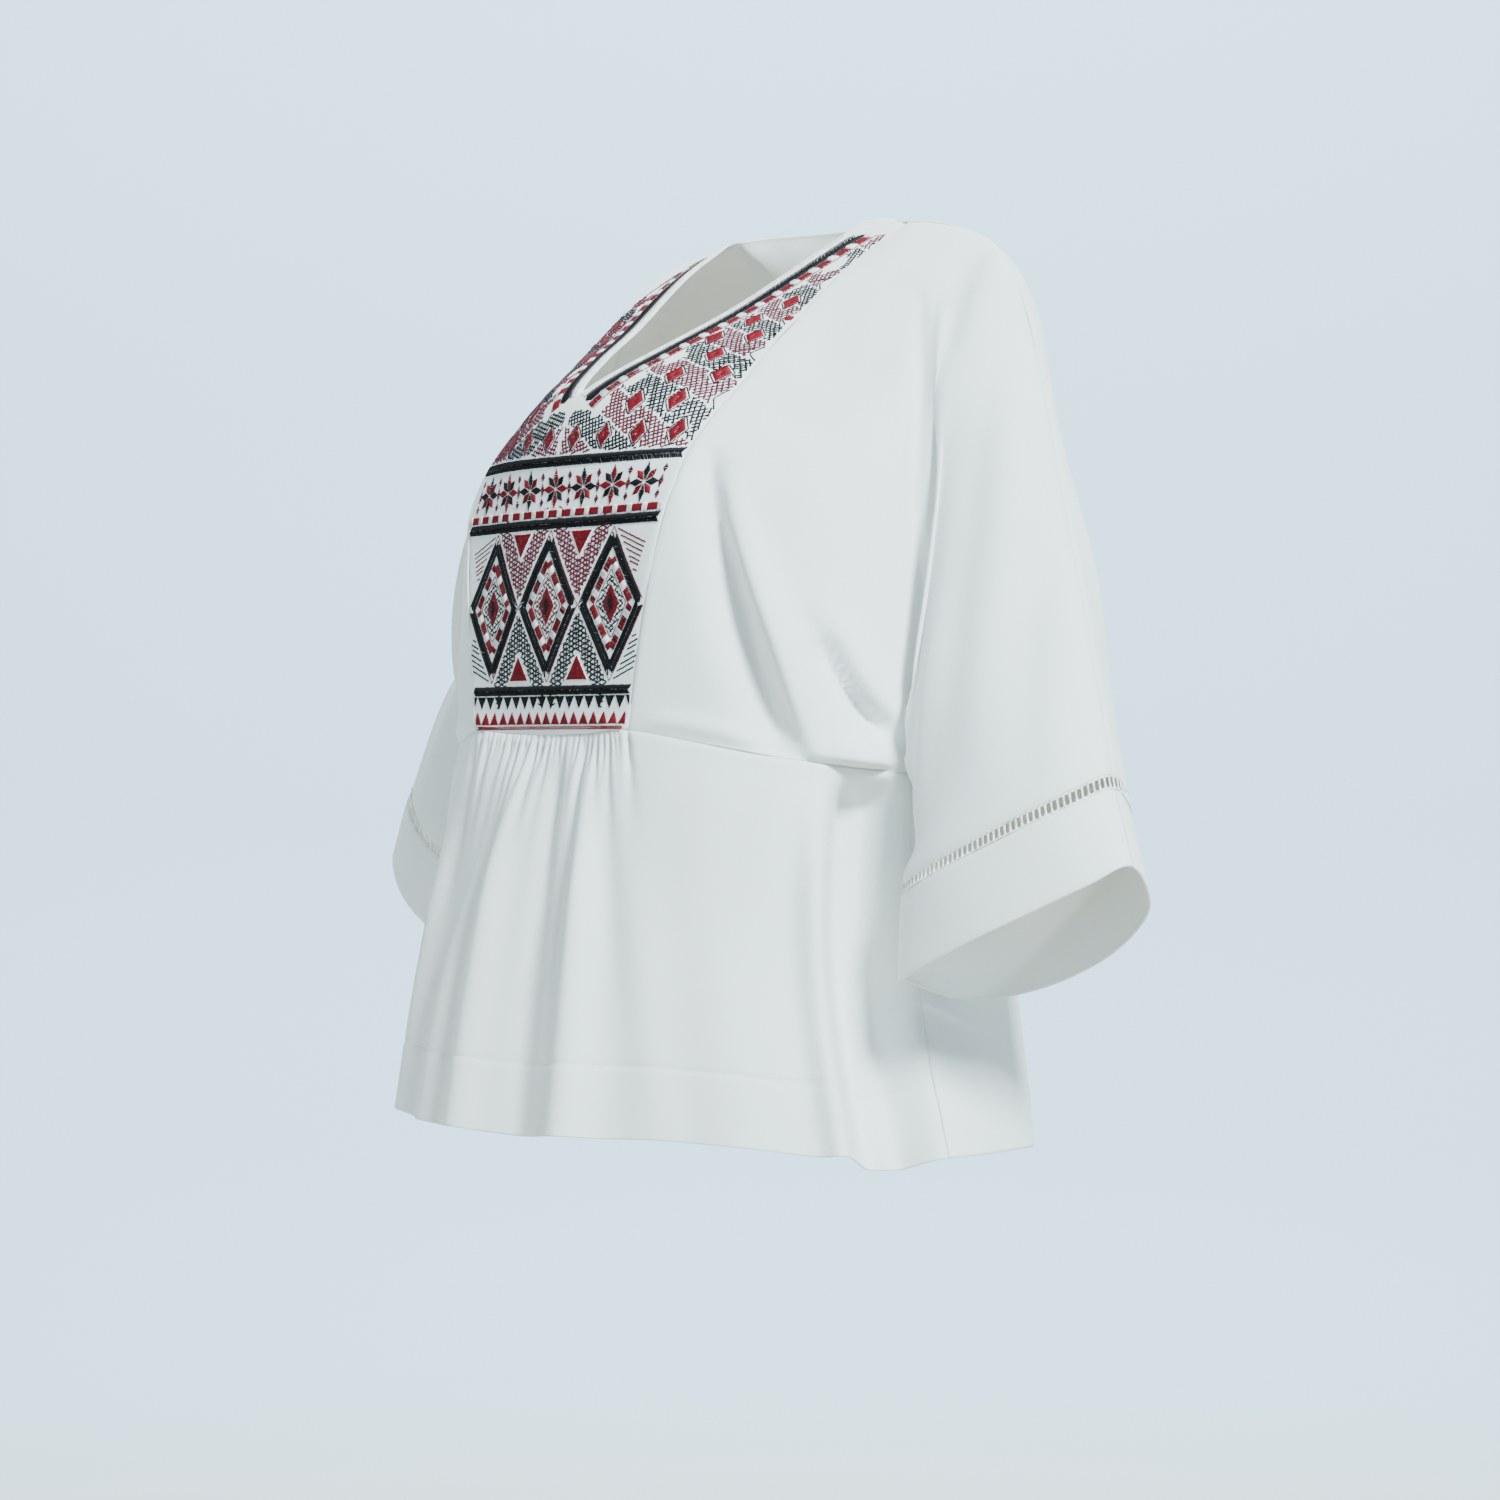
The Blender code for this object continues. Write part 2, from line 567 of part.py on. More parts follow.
def add_inserts(collection):
    """The openwork strips above the cuffs, each in a front and a back half."""
    side = float(len(BACK["top"]) - 1)
    for half, surface_of, first in (("front", front_surface, 8.0), ("back", back_surface, side + 5.0)):
        vertices, faces = insert_strip(surface_of, first)
        turned = vertices * np.array((-1.0, 1.0, 1.0))
        add_wall(collection, "ladder_" + half + "_left", vertices, faces, INSERT_COTTON)
        add_wall(collection, "ladder_" + half + "_right", turned, faces, INSERT_COTTON)


def add_cuffs(collection):
    """The plain band at each sleeve's end."""
    side = float(len(BACK["top"]) - 1)
    share = np.linspace(INSERT_SHARE, 1.0, CUFF_STEPS + 1)
    front = trim(front_surface(8.0 + share), left=SEAM_TRIM)
    back = trim(back_surface(side + 5.0 + share), left=SEAM_TRIM)
    loop = np.concatenate([front, back[-2::-1]])
    add_grids(collection, "cuff_left", [loop], COTTON)
    add_grids(collection, "cuff_right", [mirrored(loop)], COTTON)


def main():
    """Clear the scene and build every piece of the top."""
    for thing in list(bpy.data.objects):
        bpy.data.objects.remove(thing)
    collection = bpy.data.collections.new("embroidered_v_neck_top")
    bpy.context.scene.collection.children.link(collection)
    add_bib(collection)
    add_fronts(collection)
    add_back(collection)
    add_skirt(collection)
    add_inserts(collection)
    add_cuffs(collection)


main()
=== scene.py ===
"""Looks of the embroidered v-neck top: cloth, folds, openwork, stitching and embroidery.

Every panel is a thin shell on the form of its solid.  The forms are smooth
surfaces through short tables of points, in metres, as in the part's source.
"""

import math

import bpy
import numpy as np
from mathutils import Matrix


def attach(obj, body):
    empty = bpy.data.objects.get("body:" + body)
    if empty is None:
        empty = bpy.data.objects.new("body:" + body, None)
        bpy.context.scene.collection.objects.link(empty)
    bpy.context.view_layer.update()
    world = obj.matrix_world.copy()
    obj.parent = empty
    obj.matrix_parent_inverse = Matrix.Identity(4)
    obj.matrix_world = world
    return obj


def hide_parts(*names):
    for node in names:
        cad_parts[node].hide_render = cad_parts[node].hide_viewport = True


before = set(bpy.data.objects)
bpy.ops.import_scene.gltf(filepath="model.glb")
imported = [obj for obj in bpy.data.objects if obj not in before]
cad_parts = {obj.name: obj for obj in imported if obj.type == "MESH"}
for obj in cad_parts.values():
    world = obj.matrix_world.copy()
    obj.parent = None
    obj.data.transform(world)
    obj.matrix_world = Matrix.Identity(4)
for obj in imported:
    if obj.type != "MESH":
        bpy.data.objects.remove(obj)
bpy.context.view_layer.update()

bl_info = {
    "name": "Embroidered V-Neck Top",
    "version": (1, 0, 0),
    "blender": (4, 5, 0),
    "location": "3D View > Sidebar > Top",
    "description": "Dresses the solids of a white cotton top with an embroidered front panel",
    "category": "Mesh",
}

BODY = "root"

# Front panel rows, from the shoulder to the waist seam
BIB_ROWS = (
    # height   seam x   seam y   middle y
    (0.004, 0.0970, 0.004, -0.013),
    (-0.001, 0.0972, 0.000, -0.022),
    (-0.020, 0.0998, -0.029, -0.049),
    (-0.038, 0.1022, -0.056, -0.071),
    (-0.062, 0.1035, -0.084, -0.104),
    (-0.084, 0.1028, -0.108, -0.139),
    (-0.109, 0.1018, -0.131, -0.173),
    (-0.134, 0.1030, -0.158, -0.187),
    (-0.174, 0.1035, -0.183, -0.193),
    (-0.206, 0.0975, -0.190, -0.196),
    (-0.260, 0.0875, -0.1945, -0.198),
    (-0.315, 0.0785, -0.197, -0.199),
)
# The panel's upper edge, as a share of its half width and a height
NECK_EDGE = (
    # share    height
    (0.000, -0.1095),
    (0.140, -0.0935),
    (0.286, -0.0780),
    (0.406, -0.0610),
    (0.534, -0.0380),
    (0.625, -0.0180),
    (0.690, 0.0030),
    (0.845, 0.0015),
    (1.000, -0.0010),
)
SHOULDER_SHARE = 0.690          # where the neck edge meets the shoulder seam
SEAM_SHARE = 0.06               # the panel's last rows, which follow the seam under the bust

# The seam under the bust, from the middle to the side
WAIST_SEAM = (
    (0.0000, -0.1990, -0.3150),
    (0.0400, -0.1985, -0.3143),
    (0.0785, -0.1970, -0.3125),
    (0.1300, -0.1740, -0.3215),
    (0.1700, -0.1330, -0.3310),
    (0.1880, -0.0730, -0.3370),
)

# The side fronts, from the panel's seam to the armhole
CHEST = {
    # row          inner                     outer                     armhole
    "shoulder": ((0.120, 0.004, -0.004), (0.145, 0.006, -0.011), (0.168, 0.008, -0.0216)),
    "collar": ((0.124, -0.044, -0.034), (0.149, -0.034, -0.038), (0.172, -0.021, -0.048)),
    "upper": ((0.126, -0.102, -0.104), (0.153, -0.074, -0.100), (0.178, -0.044, -0.100)),
    "bust": ((0.135, -0.158, -0.172), (0.163, -0.120, -0.170), (0.185, -0.055, -0.170)),
    "under": ((0.134, -0.172, -0.258), (0.168, -0.134, -0.260), (0.188, -0.067, -0.255)),
    "seam": ((0.130, -0.174, -0.3215), (0.170, -0.133, -0.331), (0.188, -0.073, -0.337)),
}
CHEST_SEAM_HEIGHTS = (-0.001, -0.035, -0.107, -0.174, -0.258, -0.3125)

# The back, from its middle to the armhole, and below it to the side seam
BACK = {
    "top": ((0.0, 0.052, 0.009), (0.036, 0.043, 0.009), (0.059, 0.020, 0.007), (0.067, -0.002, 0.003),
        (0.0972, 0.0, -0.001), (0.120, 0.004, -0.004), (0.145, 0.006, -0.011), (0.168, 0.008, -0.0216)),
    "yoke": ((0.0, 0.060, -0.035), (0.035, 0.058, -0.032), (0.058, 0.051, -0.030), (0.076, 0.045, -0.030),
        (0.100, 0.041, -0.034), (0.123, 0.037, -0.037), (0.149, 0.032, -0.043), (0.172, 0.025, -0.053)),
    "blade": ((0.0, 0.066, -0.100), (0.035, 0.067, -0.098), (0.060, 0.066, -0.097), (0.080, 0.064, -0.097),
        (0.102, 0.061, -0.098), (0.126, 0.056, -0.100), (0.151, 0.048, -0.104), (0.176, 0.036, -0.110)),
    "middle": ((0.0, 0.070, -0.190), (0.036, 0.070, -0.190), (0.062, 0.068, -0.190), (0.083, 0.065, -0.190),
        (0.105, 0.060, -0.190), (0.132, 0.050, -0.192), (0.158, 0.036, -0.196), (0.182, 0.014, -0.200)),
    "low": ((0.0, 0.070, -0.265), (0.037, 0.070, -0.265), (0.064, 0.067, -0.265), (0.086, 0.063, -0.265),
        (0.109, 0.057, -0.265), (0.139, 0.044, -0.267), (0.167, 0.018, -0.270), (0.186, -0.022, -0.275)),
    "under": ((0.0, 0.070, -0.325), (0.038, 0.069, -0.325), (0.066, 0.065, -0.325), (0.089, 0.060, -0.325),
        (0.112, 0.053, -0.325), (0.143, 0.036, -0.328), (0.170, 0.0, -0.331), (0.188, -0.073, -0.337)),
    "hip": ((0.0, 0.074, -0.440), (0.042, 0.073, -0.440), (0.074, 0.070, -0.440), (0.100, 0.064, -0.440),
        (0.126, 0.052, -0.440), (0.154, 0.032, -0.440), (0.180, -0.004, -0.440), (0.198, -0.078, -0.440)),
    "hem": ((0.0, 0.080, -0.563), (0.046, 0.079, -0.563), (0.082, 0.074, -0.563), (0.112, 0.066, -0.562),
        (0.141, 0.047, -0.561), (0.174, 0.023, -0.560), (0.210, -0.018, -0.558), (0.234, -0.084, -0.556)),
}
BACK_UPPER_ROWS = 6
BACK_SEAM_COLUMN = 4            # the back's column behind the front panel's seam
SIDE_COLUMN = 7.0               # the back's column at the armhole and the side seam
SLEEVE_END = SIDE_COLUMN + 5.0  # the back's column at the openwork
FRONT_SIDE_COLUMN = 3.0         # the side front's column at the armhole and the side seam
FRONT_SLEEVE_END = 8.0          # the side front's column at the openwork
LAST_ROW = 5.0                  # the last row of both, at the seam under the bust and the arm

# Sleeve sections from the armhole outward, each a loop between a point on the
# arm's upper side and one under it, with its depth and sag to the front and back
SLEEVE = {
    #            over the arm              under the arm            front   back   sags
    "first": ((0.195, 0.003, -0.045), (0.196, -0.074, -0.345), 0.036, 0.047, 0.000, 0.000),
    "second": ((0.226, -0.003, -0.115), (0.208, -0.076, -0.360), 0.040, 0.044, 0.003, -0.001),
    "third": ((0.263, -0.017, -0.200), (0.212, -0.078, -0.376), 0.042, 0.045, 0.006, 0.000),
    "fourth": ((0.305, -0.039, -0.268), (0.215, -0.082, -0.388), 0.040, 0.051, 0.008, 0.006),
    "insert": ((0.336, -0.053, -0.338), (0.209, -0.090, -0.401), 0.036, 0.057, 0.008, 0.014),
    "cuff": ((0.359, -0.060, -0.388), (0.210, -0.096, -0.456), 0.032, 0.061, 0.008, 0.024),
}
LOOP_FULLNESS = 0.85            # below 1 the loops are fuller than ellipses

# The gathered lower front, from the middle to the side seam
SKIRT = {
    "upper": ((0.000, -0.215, -0.375), (0.044, -0.212, -0.375), (0.088, -0.202, -0.375),
              (0.136, -0.180, -0.377), (0.175, -0.140, -0.380), (0.190, -0.074, -0.384)),
    "lower": ((0.000, -0.234, -0.462), (0.056, -0.230, -0.462), (0.110, -0.211, -0.462),
              (0.154, -0.182, -0.464), (0.186, -0.143, -0.464), (0.203, -0.079, -0.466)),
    "hem": ((0.000, -0.251, -0.548), (0.066, -0.244, -0.5475), (0.130, -0.214, -0.546),
            (0.175, -0.184, -0.549), (0.214, -0.144, -0.554), (0.234, -0.084, -0.556)),
}
SKIRT_PANEL_COLUMN = 2          # the column below the front panel's seam
SKIRT_SIDE_COLUMN = 5.0         # the column at the side seam
SKIRT_LENGTH = 0.234
GATHERS = 30                    # between the front panel's two seams
FLUTES = (
    # column at the top and the hem, width, height, begins below the seam
    (-4.60, -4.50, 0.24, -0.0090, 0.004),
    (-4.12, -3.95, 0.24, 0.0060, 0.010),
    (-3.20, -2.80, 0.50, 0.0070, 0.040),
    (-2.55, -1.70, 0.30, 0.0100, 0.012),
    (-1.20, -0.95, 0.24, 0.0060, 0.050),
    (-0.42, -0.20, 0.30, 0.0125, 0.004),
    (0.42, 0.55, 0.22, -0.0060, 0.004),
    (1.38, 1.16, 0.24, 0.0120, 0.002),
    (2.15, 2.00, 0.30, 0.0040, 0.030),
    (3.05, 2.90, 0.50, 0.0050, 0.060),
    (4.12, 3.97, 0.14, 0.0110, 0.000),
    (4.46, 4.32, 0.17, -0.0150, 0.000),
    (4.76, 4.62, 0.36, -0.0240, 0.000),
)
INSERT_SHARE = 0.135            # the openwork's share of the length below the sleeve
SLOTS_PER_HALF = 48
CORD_RADII = np.array((0.00062, 0.00055))   # a corded edge, along the cloth and out of it
BAR_RADII = np.array((0.00105, 0.00075, 0.00058, 0.00075, 0.00105))         # a wrapped bar, end to end
HEM_DEPTH = 0.042

# Drag folds, as paths of points on a panel.  A negative depth is a trough.
# The two widths are to the path's left and right, seen from outside.
FRONT_FOLDS = (
    # path                                                                   depth    widths
    # the long fold from the panel down to the side, and the lip and crest beside it
    (((0.116, -0.164, -0.155), (0.128, -0.168, -0.195), (0.140, -0.166, -0.235), (0.148, -0.161, -0.267),
      (0.154, -0.154, -0.296), (0.162, -0.144, -0.330)), -0.0150, (0.0080, 0.0140)),
    (((0.134, -0.165, -0.185), (0.147, -0.159, -0.226), (0.157, -0.151, -0.262), (0.164, -0.142, -0.296),
      (0.171, -0.131, -0.330)), 0.0120, (0.0170, 0.0032)),
    (((0.136, -0.155, -0.168), (0.156, -0.147, -0.215), (0.167, -0.135, -0.260), (0.175, -0.123, -0.307)),
     -0.0020, (0.0080, 0.0080)),
    (((0.110, -0.165, -0.148), (0.120, -0.168, -0.168), (0.128, -0.168, -0.195)), -0.0036, (0.0060, 0.0120)),
    # the short fold above the side seam, the crest over it, and the bright lip below it
    (((0.1722, -0.1270, -0.2560), (0.1744, -0.1207, -0.2700), (0.1792, -0.1099, -0.2909),
      (0.1835, -0.0981, -0.3040), (0.1872, -0.0850, -0.3140)), -0.0130, (0.0048, 0.0130)),
    (((0.1738, -0.1219, -0.2515), (0.1761, -0.1156, -0.2655), (0.1809, -0.1048, -0.2863),
      (0.1850, -0.0930, -0.2995), (0.1878, -0.0800, -0.3095)), 0.0072, (0.0150, 0.0046)),
    (((0.1700, -0.1300, -0.268), (0.1755, -0.1180, -0.287), (0.1805, -0.1080, -0.308),
      (0.1830, -0.1030, -0.326)), 0.0050, (0.0080, 0.0110)),
    # the pouch over the side seam, and the seam's light roll
    (((0.1745, -0.1240, -0.3285), (0.1802, -0.1116, -0.3300), (0.1843, -0.1000, -0.3310),
      (0.1870, -0.0879, -0.3318)), 0.0120, (0.0110, 0.0035)),
    (((0.0900, -0.1920, -0.3060), (0.1235, -0.1781, -0.3110), (0.1435, -0.1632, -0.3165),
      (0.1600, -0.1470, -0.3240)), 0.0030, (0.0060, 0.0040)),
    # the dent between the chest and the sleeve, and the sleeve's edge beside it
    (((0.1590, -0.0400, -0.0580), (0.1758, -0.0543, -0.1190), (0.1831, -0.0621, -0.1786),
      (0.1885, -0.0650, -0.2438), (0.1895, -0.0730, -0.2988)), -0.0052, (0.0034, 0.0060)),
    (((0.1700, -0.0330, -0.0620), (0.1815, -0.0470, -0.1120), (0.1870, -0.0560, -0.1700)),
     0.0050, (0.0080, 0.0040)),
    (((0.1930, -0.0540, -0.1307), (0.1965, -0.0720, -0.1850), (0.1985, -0.0840, -0.2383),
      (0.2005, -0.0900, -0.2874), (0.2030, -0.0920, -0.3300)), -0.0115, (0.0150, 0.0150)),
    # slack over the chest and the sleeve
    (((0.118, -0.072, -0.060), (0.140, -0.096, -0.110), (0.150, -0.141, -0.171)), -0.0018, (0.016, 0.020)),
    (((0.140, -0.019, -0.020), (0.152, -0.061, -0.080), (0.158, -0.114, -0.149)), -0.0024, (0.014, 0.016)),
    (((0.205, -0.024, -0.080), (0.222, -0.060, -0.180), (0.238, -0.093, -0.300)), -0.0040, (0.014, 0.020)),
    (((0.222, -0.018, -0.110), (0.248, -0.057, -0.210), (0.272, -0.099, -0.330)), 0.0036, (0.014, 0.016)),
    (((0.254, -0.017, -0.181), (0.284, -0.066, -0.260), (0.309, -0.091, -0.345)), -0.0030, (0.012, 0.015)),
)
BACK_FOLDS = (
    (((0.150, 0.039, -0.060), (0.160, 0.042, -0.139), (0.164, 0.027, -0.230), (0.160, 0.019, -0.310)),
     -0.0096, (0.016, 0.012)),
    (((0.172, 0.031, -0.070), (0.182, 0.027, -0.150), (0.186, 0.001, -0.230)), 0.0058, (0.010, 0.010)),
    (((0.120, 0.058, -0.130), (0.138, 0.047, -0.211), (0.158, 0.025, -0.290), (0.172, -0.006, -0.330)),
     0.0070, (0.014, 0.016)),
    (((0.070, 0.066, -0.110), (0.082, 0.065, -0.200), (0.090, 0.060, -0.310)), -0.0051, (0.018, 0.022)),
    (((0.020, 0.069, -0.151), (0.026, 0.070, -0.249), (0.020, 0.070, -0.325)), 0.0045, (0.022, 0.026)),
    (((0.210, 0.014, -0.090), (0.232, 0.014, -0.190), (0.250, -0.004, -0.310)), -0.0070, (0.012, 0.014)),
    (((0.233, -0.005, -0.131), (0.261, 0.001, -0.230), (0.284, -0.010, -0.335)), 0.0054, (0.012, 0.012)),
    (((0.188, -0.003, -0.240), (0.200, -0.022, -0.300), (0.214, -0.047, -0.370)), -0.0058, (0.008, 0.009)),
)
BACK_FLUTES = (
    # x at hem  width  depth   leans by
    (-0.185, 0.026, 0.0105, 0.030),
    (-0.118, 0.030, -0.0077, 0.022),
    (-0.062, 0.026, 0.0098, 0.012),
    (0.004, 0.030, -0.0063, 0.002),
    (0.071, 0.028, 0.0109, -0.014),
    (0.128, 0.026, -0.0084, -0.022),
    (0.190, 0.026, 0.0095, -0.030),
)
FOLD_PIECES = 14                # straight pieces of a fold's path
FRONT_FADES = {"top": 0.02, "left": 0.02, "bottom": 0.0035, "right": 0.02}   # folds fade to the seams
BACK_FADES = {"top": 0.03, "right": 0.02}
FLUTE_FADES = {"right": 0.03, "left": 0.03}
RIGHT_FRONT_FOLDS = 0.86        # the right side's folds, as a share of the left side's
RIGHT_BACK_FOLDS = 0.85

MIRROR = np.array((-1.0, 1.0, 1.0))
FORWARD = (0, -1, 0)
REARWARD = (0, 1, 0)


def smooth(points, at):
    """Catmull-Rom curve through all but the outer two points, which steer its ends."""
    at = np.asarray(at, dtype=float)
    first = np.clip(at.astype(int), 0, len(points) - 4)
    share = (at - first).reshape((-1,) + (1,) * (points.ndim - 1))
    a, b, c, d = (points[first + step] for step in range(4))
    bend = 2 * a - 5 * b + 4 * c - d
    turn = 3 * b - a - 3 * c + d
    return 0.5 * (2 * b + (c - a) * share + bend * share ** 2 + turn * share ** 3)


def surface(net, rows, columns):
    """Catmull-Rom surface: the curve down the rows, then the same across the columns."""
    along = smooth(net, rows)
    return np.swapaxes(smooth(np.swapaxes(along, 0, 1), columns), 0, 1)


def beyond(edge, inner):
    """The steering line one step outside an edge: twice the edge less the inner line."""
    return 2 * edge - inner


def steered(line):
    """A line with a steering point one step outside each end."""
    return np.concatenate([beyond(line[0], line[1])[None], line, beyond(line[-1], line[-2])[None]])


def framed(net, above, below, before, after):
    """A net with its four steering lines round it."""
    tall = np.concatenate([above[None], net, below[None]])
    return np.concatenate([steered(before)[:, None], tall, steered(after)[:, None]], axis=1)


def ease(value):
    """0 to 1 with level ends: three times the square less twice the cube."""
    value = np.clip(value, 0.0, 1.0)
    return value * value * (3 - 2 * value)


def through(xs, ys, at):
    """Smooth values between uneven places: a cubic with averaged slopes at each place."""
    xs, ys = np.asarray(xs, dtype=float), np.asarray(ys, dtype=float)
    slopes = np.gradient(ys, xs)
    at = np.clip(at, xs[0], xs[-1])
    k = np.clip(np.searchsorted(xs, at) - 1, 0, len(xs) - 2)
    gap = xs[k + 1] - xs[k]
    t = (at - xs[k]) / gap
    rise = (3 * (ys[k + 1] - ys[k]) - gap * (2 * slopes[k] + slopes[k + 1])) * t ** 2
    fall = (2 * (ys[k] - ys[k + 1]) + gap * (slopes[k] + slopes[k + 1])) * t ** 3
    return ys[k] + gap * slopes[k] * t + rise + fall


def fade_in(count, share, last):
    """Weights along a grid: 1 at one end, falling to 0 over a share of its length."""
    away = np.linspace(0.0, 1.0, count)
    away = away[::-1] if last else away
    return 1 - ease(away / share)


def pin(grid, edge, share, last=True):
    """Bring the first or last row onto an edge, and fade the shift out over the others."""
    shift = edge - (grid[-1] if last else grid[0])
    return grid + fade_in(len(grid), share, last)[:, None, None] * shift


def turned(grid):
    """Rows for columns."""
    return np.swapaxes(grid, 0, 1)


def mirrored(grid):
    """The same grid on the other side, with its columns turned round."""
    return grid[:, ::-1] * MIRROR


def both_sides(grid):
    """A half that starts in the middle, made whole."""
    return np.concatenate([mirrored(grid)[:, :-1], grid], axis=1)


def bib_side(height):
    """Half width, seam depth and middle depth of the front panel at a height."""
    table = np.array(BIB_ROWS)[::-1]
    return tuple(through(table[:, 0], table[:, k], height) for k in (1, 2, 3))


def bib_point(share, height):
    """Front panel: x is a share of the half width, y a parabola from the middle to the seam."""
    seam_x, seam_y, middle_y = bib_side(height)
    return np.stack([share * seam_x, middle_y + (seam_y - middle_y) * share ** 2, height], axis=-1)


def waist_seam(columns):
    """Points of the seam under the bust."""
    line = np.array(WAIST_SEAM)
    return smooth(np.concatenate([[line[1] * MIRROR], line, [BACK["under"][-2]]]), columns)


def sleeve_loop(row, side):
    """Six points down one side of a sleeve section, from over the arm to under it.

    They follow a cosine along the section's axis and a power of the sine to
    its side, and sag by the same power.
    """
    over, under = np.array(row[0]), np.array(row[1])
    depth, sag = (row[2], row[4]) if side == "front" else (-row[3], row[5])
    axis = over - under
    forward = np.array((0.0, -1.0, 0.0))
    forward -= axis * (forward @ axis) / (axis @ axis)
    forward /= np.linalg.norm(forward)
    turn = np.linspace(0.0, math.pi, 6)[:, None]
    bulge = np.clip(np.sin(turn), 0.0, 1.0) ** LOOP_FULLNESS
    down = np.array((0.0, 0.0, -sag))
    return (over + under) / 2 + axis / 2 * np.cos(turn) + (forward * depth + down) * bulge


def front_net():
    """Six rows of the side front, from the panel's seam to the cuff's edge."""
    columns = [bib_point(np.ones(6), np.array(CHEST_SEAM_HEIGHTS))]
    columns += [np.array([row[k] for row in CHEST.values()]) for k in range(3)]
    columns += [sleeve_loop(row, "front") for row in SLEEVE.values()]
    return np.stack(columns, axis=1)


def back_net():
    """All rows of the back to its side, and the sleeve's loops beside the upper six."""
    body = np.array(list(BACK.values()))
    loops = np.stack([sleeve_loop(row, "back") for row in SLEEVE.values()], axis=1)
    return body, np.concatenate([body[:BACK_UPPER_ROWS], loops], axis=1)


def skirt_net():
    """Rows of the lower front, from the waist seam to the hem."""
    return np.array([WAIST_SEAM, *SKIRT.values()])


def underarm(columns):
    """The seam under the arm, from the armhole outward."""
    return smooth(steered(np.array([WAIST_SEAM[-1]] + [row[1] for row in SLEEVE.values()])), columns)


def front_surface(rows, columns):
    """The side front and its half of the sleeve."""
    net = front_net()
    upper = back_net()[1]
    behind = upper[1, BACK_SEAM_COLUMN:]
    below = skirt_net()[1, SKIRT_PANEL_COLUMN:]
    below = np.concatenate([below[:3], upper[4, BACK_SEAM_COLUMN + 3:]])
    inside = bib_point(np.full(6, 0.75), np.array(CHEST_SEAM_HEIGHTS))
    inside[0] = BACK["top"][BACK_SEAM_COLUMN - 1]
    inside[-1] = WAIST_SEAM[SKIRT_PANEL_COLUMN - 1]
    net = framed(net, behind, below, inside, beyond(net[:, -1], net[:, -2]))
    edge = np.where((columns <= FRONT_SIDE_COLUMN)[:, None],
                    waist_seam(np.minimum(columns, FRONT_SIDE_COLUMN) + SKIRT_PANEL_COLUMN),
                    underarm(np.maximum(columns - FRONT_SIDE_COLUMN, 0.0)))
    grid = pin(surface(net, rows, columns), edge, 0.3)
    at_panel = surface(net, rows, [0.0])[:, 0]
    shift = bib_point(np.ones(len(rows)), at_panel[:, 2]) - at_panel
    return grid + shift[:, None] * (1 - ease(columns / 1.2))[None, :, None]


def back_surface(rows, columns):
    """The back's upper rows and its half of the sleeve."""
    upper = back_net()[1]
    front = front_net()
    over = np.concatenate([beyond(upper[0, :BACK_SEAM_COLUMN], upper[1, :BACK_SEAM_COLUMN]), front[1]])
    below = np.concatenate([back_net()[0][BACK_UPPER_ROWS, :-1], front[4, 3:]])
    middle = upper[:, 1] * MIRROR
    net = framed(upper, over, below, middle, beyond(upper[:, -1], upper[:, -2]))
    grid = surface(net, rows, columns)
    corner = BACK_SEAM_COLUMN - 1
    straight = at_run(columns, range(upper.shape[1]), upper[0])
    after_neck = beyond(upper[0, corner], upper[0, corner - 1])
    neck = np.concatenate([middle[:1], upper[0, :corner + 1], after_neck[None]])
    straight = np.where((columns < corner)[:, None], smooth(neck, np.minimum(columns, corner)), straight)
    at_neck = (columns < BACK_SEAM_COLUMN)[:, None]
    grid += (1 - ease(rows / 1.2))[:, None, None] * np.where(at_neck, straight - grid[0], 0.0)
    under = underarm(np.maximum(columns - SIDE_COLUMN, 0.0))
    return pin(grid, np.where((columns < SIDE_COLUMN)[:, None], grid[-1], under), 0.3)


def back_lower_surface(levels, columns, first_row):
    """The back below the arms, starting from the upper part's last row."""
    body = back_net()[0]
    skirt = skirt_net()
    beside = np.stack([skirt[0, -2], 0.24 * skirt[1, -2] + 0.76 * skirt[2, -2], skirt[3, -2]])
    net = framed(body[5:], body[4], beyond(body[-1], body[-2]), body[5:, 1] * MIRROR, beside)
    rows = np.interp(levels, (0.0, 0.47, 1.0), (0.0, 1.0, 2.0))
    grid = pin(surface(net, rows, columns), first_row, 0.25, last=False)
    side = skirt_surface(levels, np.array([SKIRT_SIDE_COLUMN]))[:, 0]
    return turned(pin(turned(grid), side, 0.35))


def skirt_surface(levels, columns):
    """The plain form of the lower front, without its folds."""
    net = skirt_net()
    body = back_net()[0]
    behind = np.stack([body[5, -2], 0.57 * body[5, -2] + 0.43 * body[6, -2],
                       0.84 * body[6, -2] + 0.16 * body[7, -2], body[7, -2]])
    net = framed(net, beyond(net[0], net[1]), beyond(net[-1], net[-2]), net[:, 1] * MIRROR, behind)
    rows = np.interp(levels, (0.0, 0.26, 0.63, 1.0), (0.0, 1.0, 2.0, 3.0))
    half = surface(net, rows, np.abs(columns))
    half[..., 0] *= np.where(columns < 0, -1.0, 1.0)
    return half


def outward(grid, facing):
    """Unit normals of a grid, turned so that they point along facing overall."""
    across, down = np.gradient(grid, axis=1), np.gradient(grid, axis=0)
    normal = np.cross(down, across)
    normal /= np.maximum(np.linalg.norm(normal, axis=-1, keepdims=True), 1e-9)
    return normal if (normal @ np.array(facing)).sum() > 0 else -normal


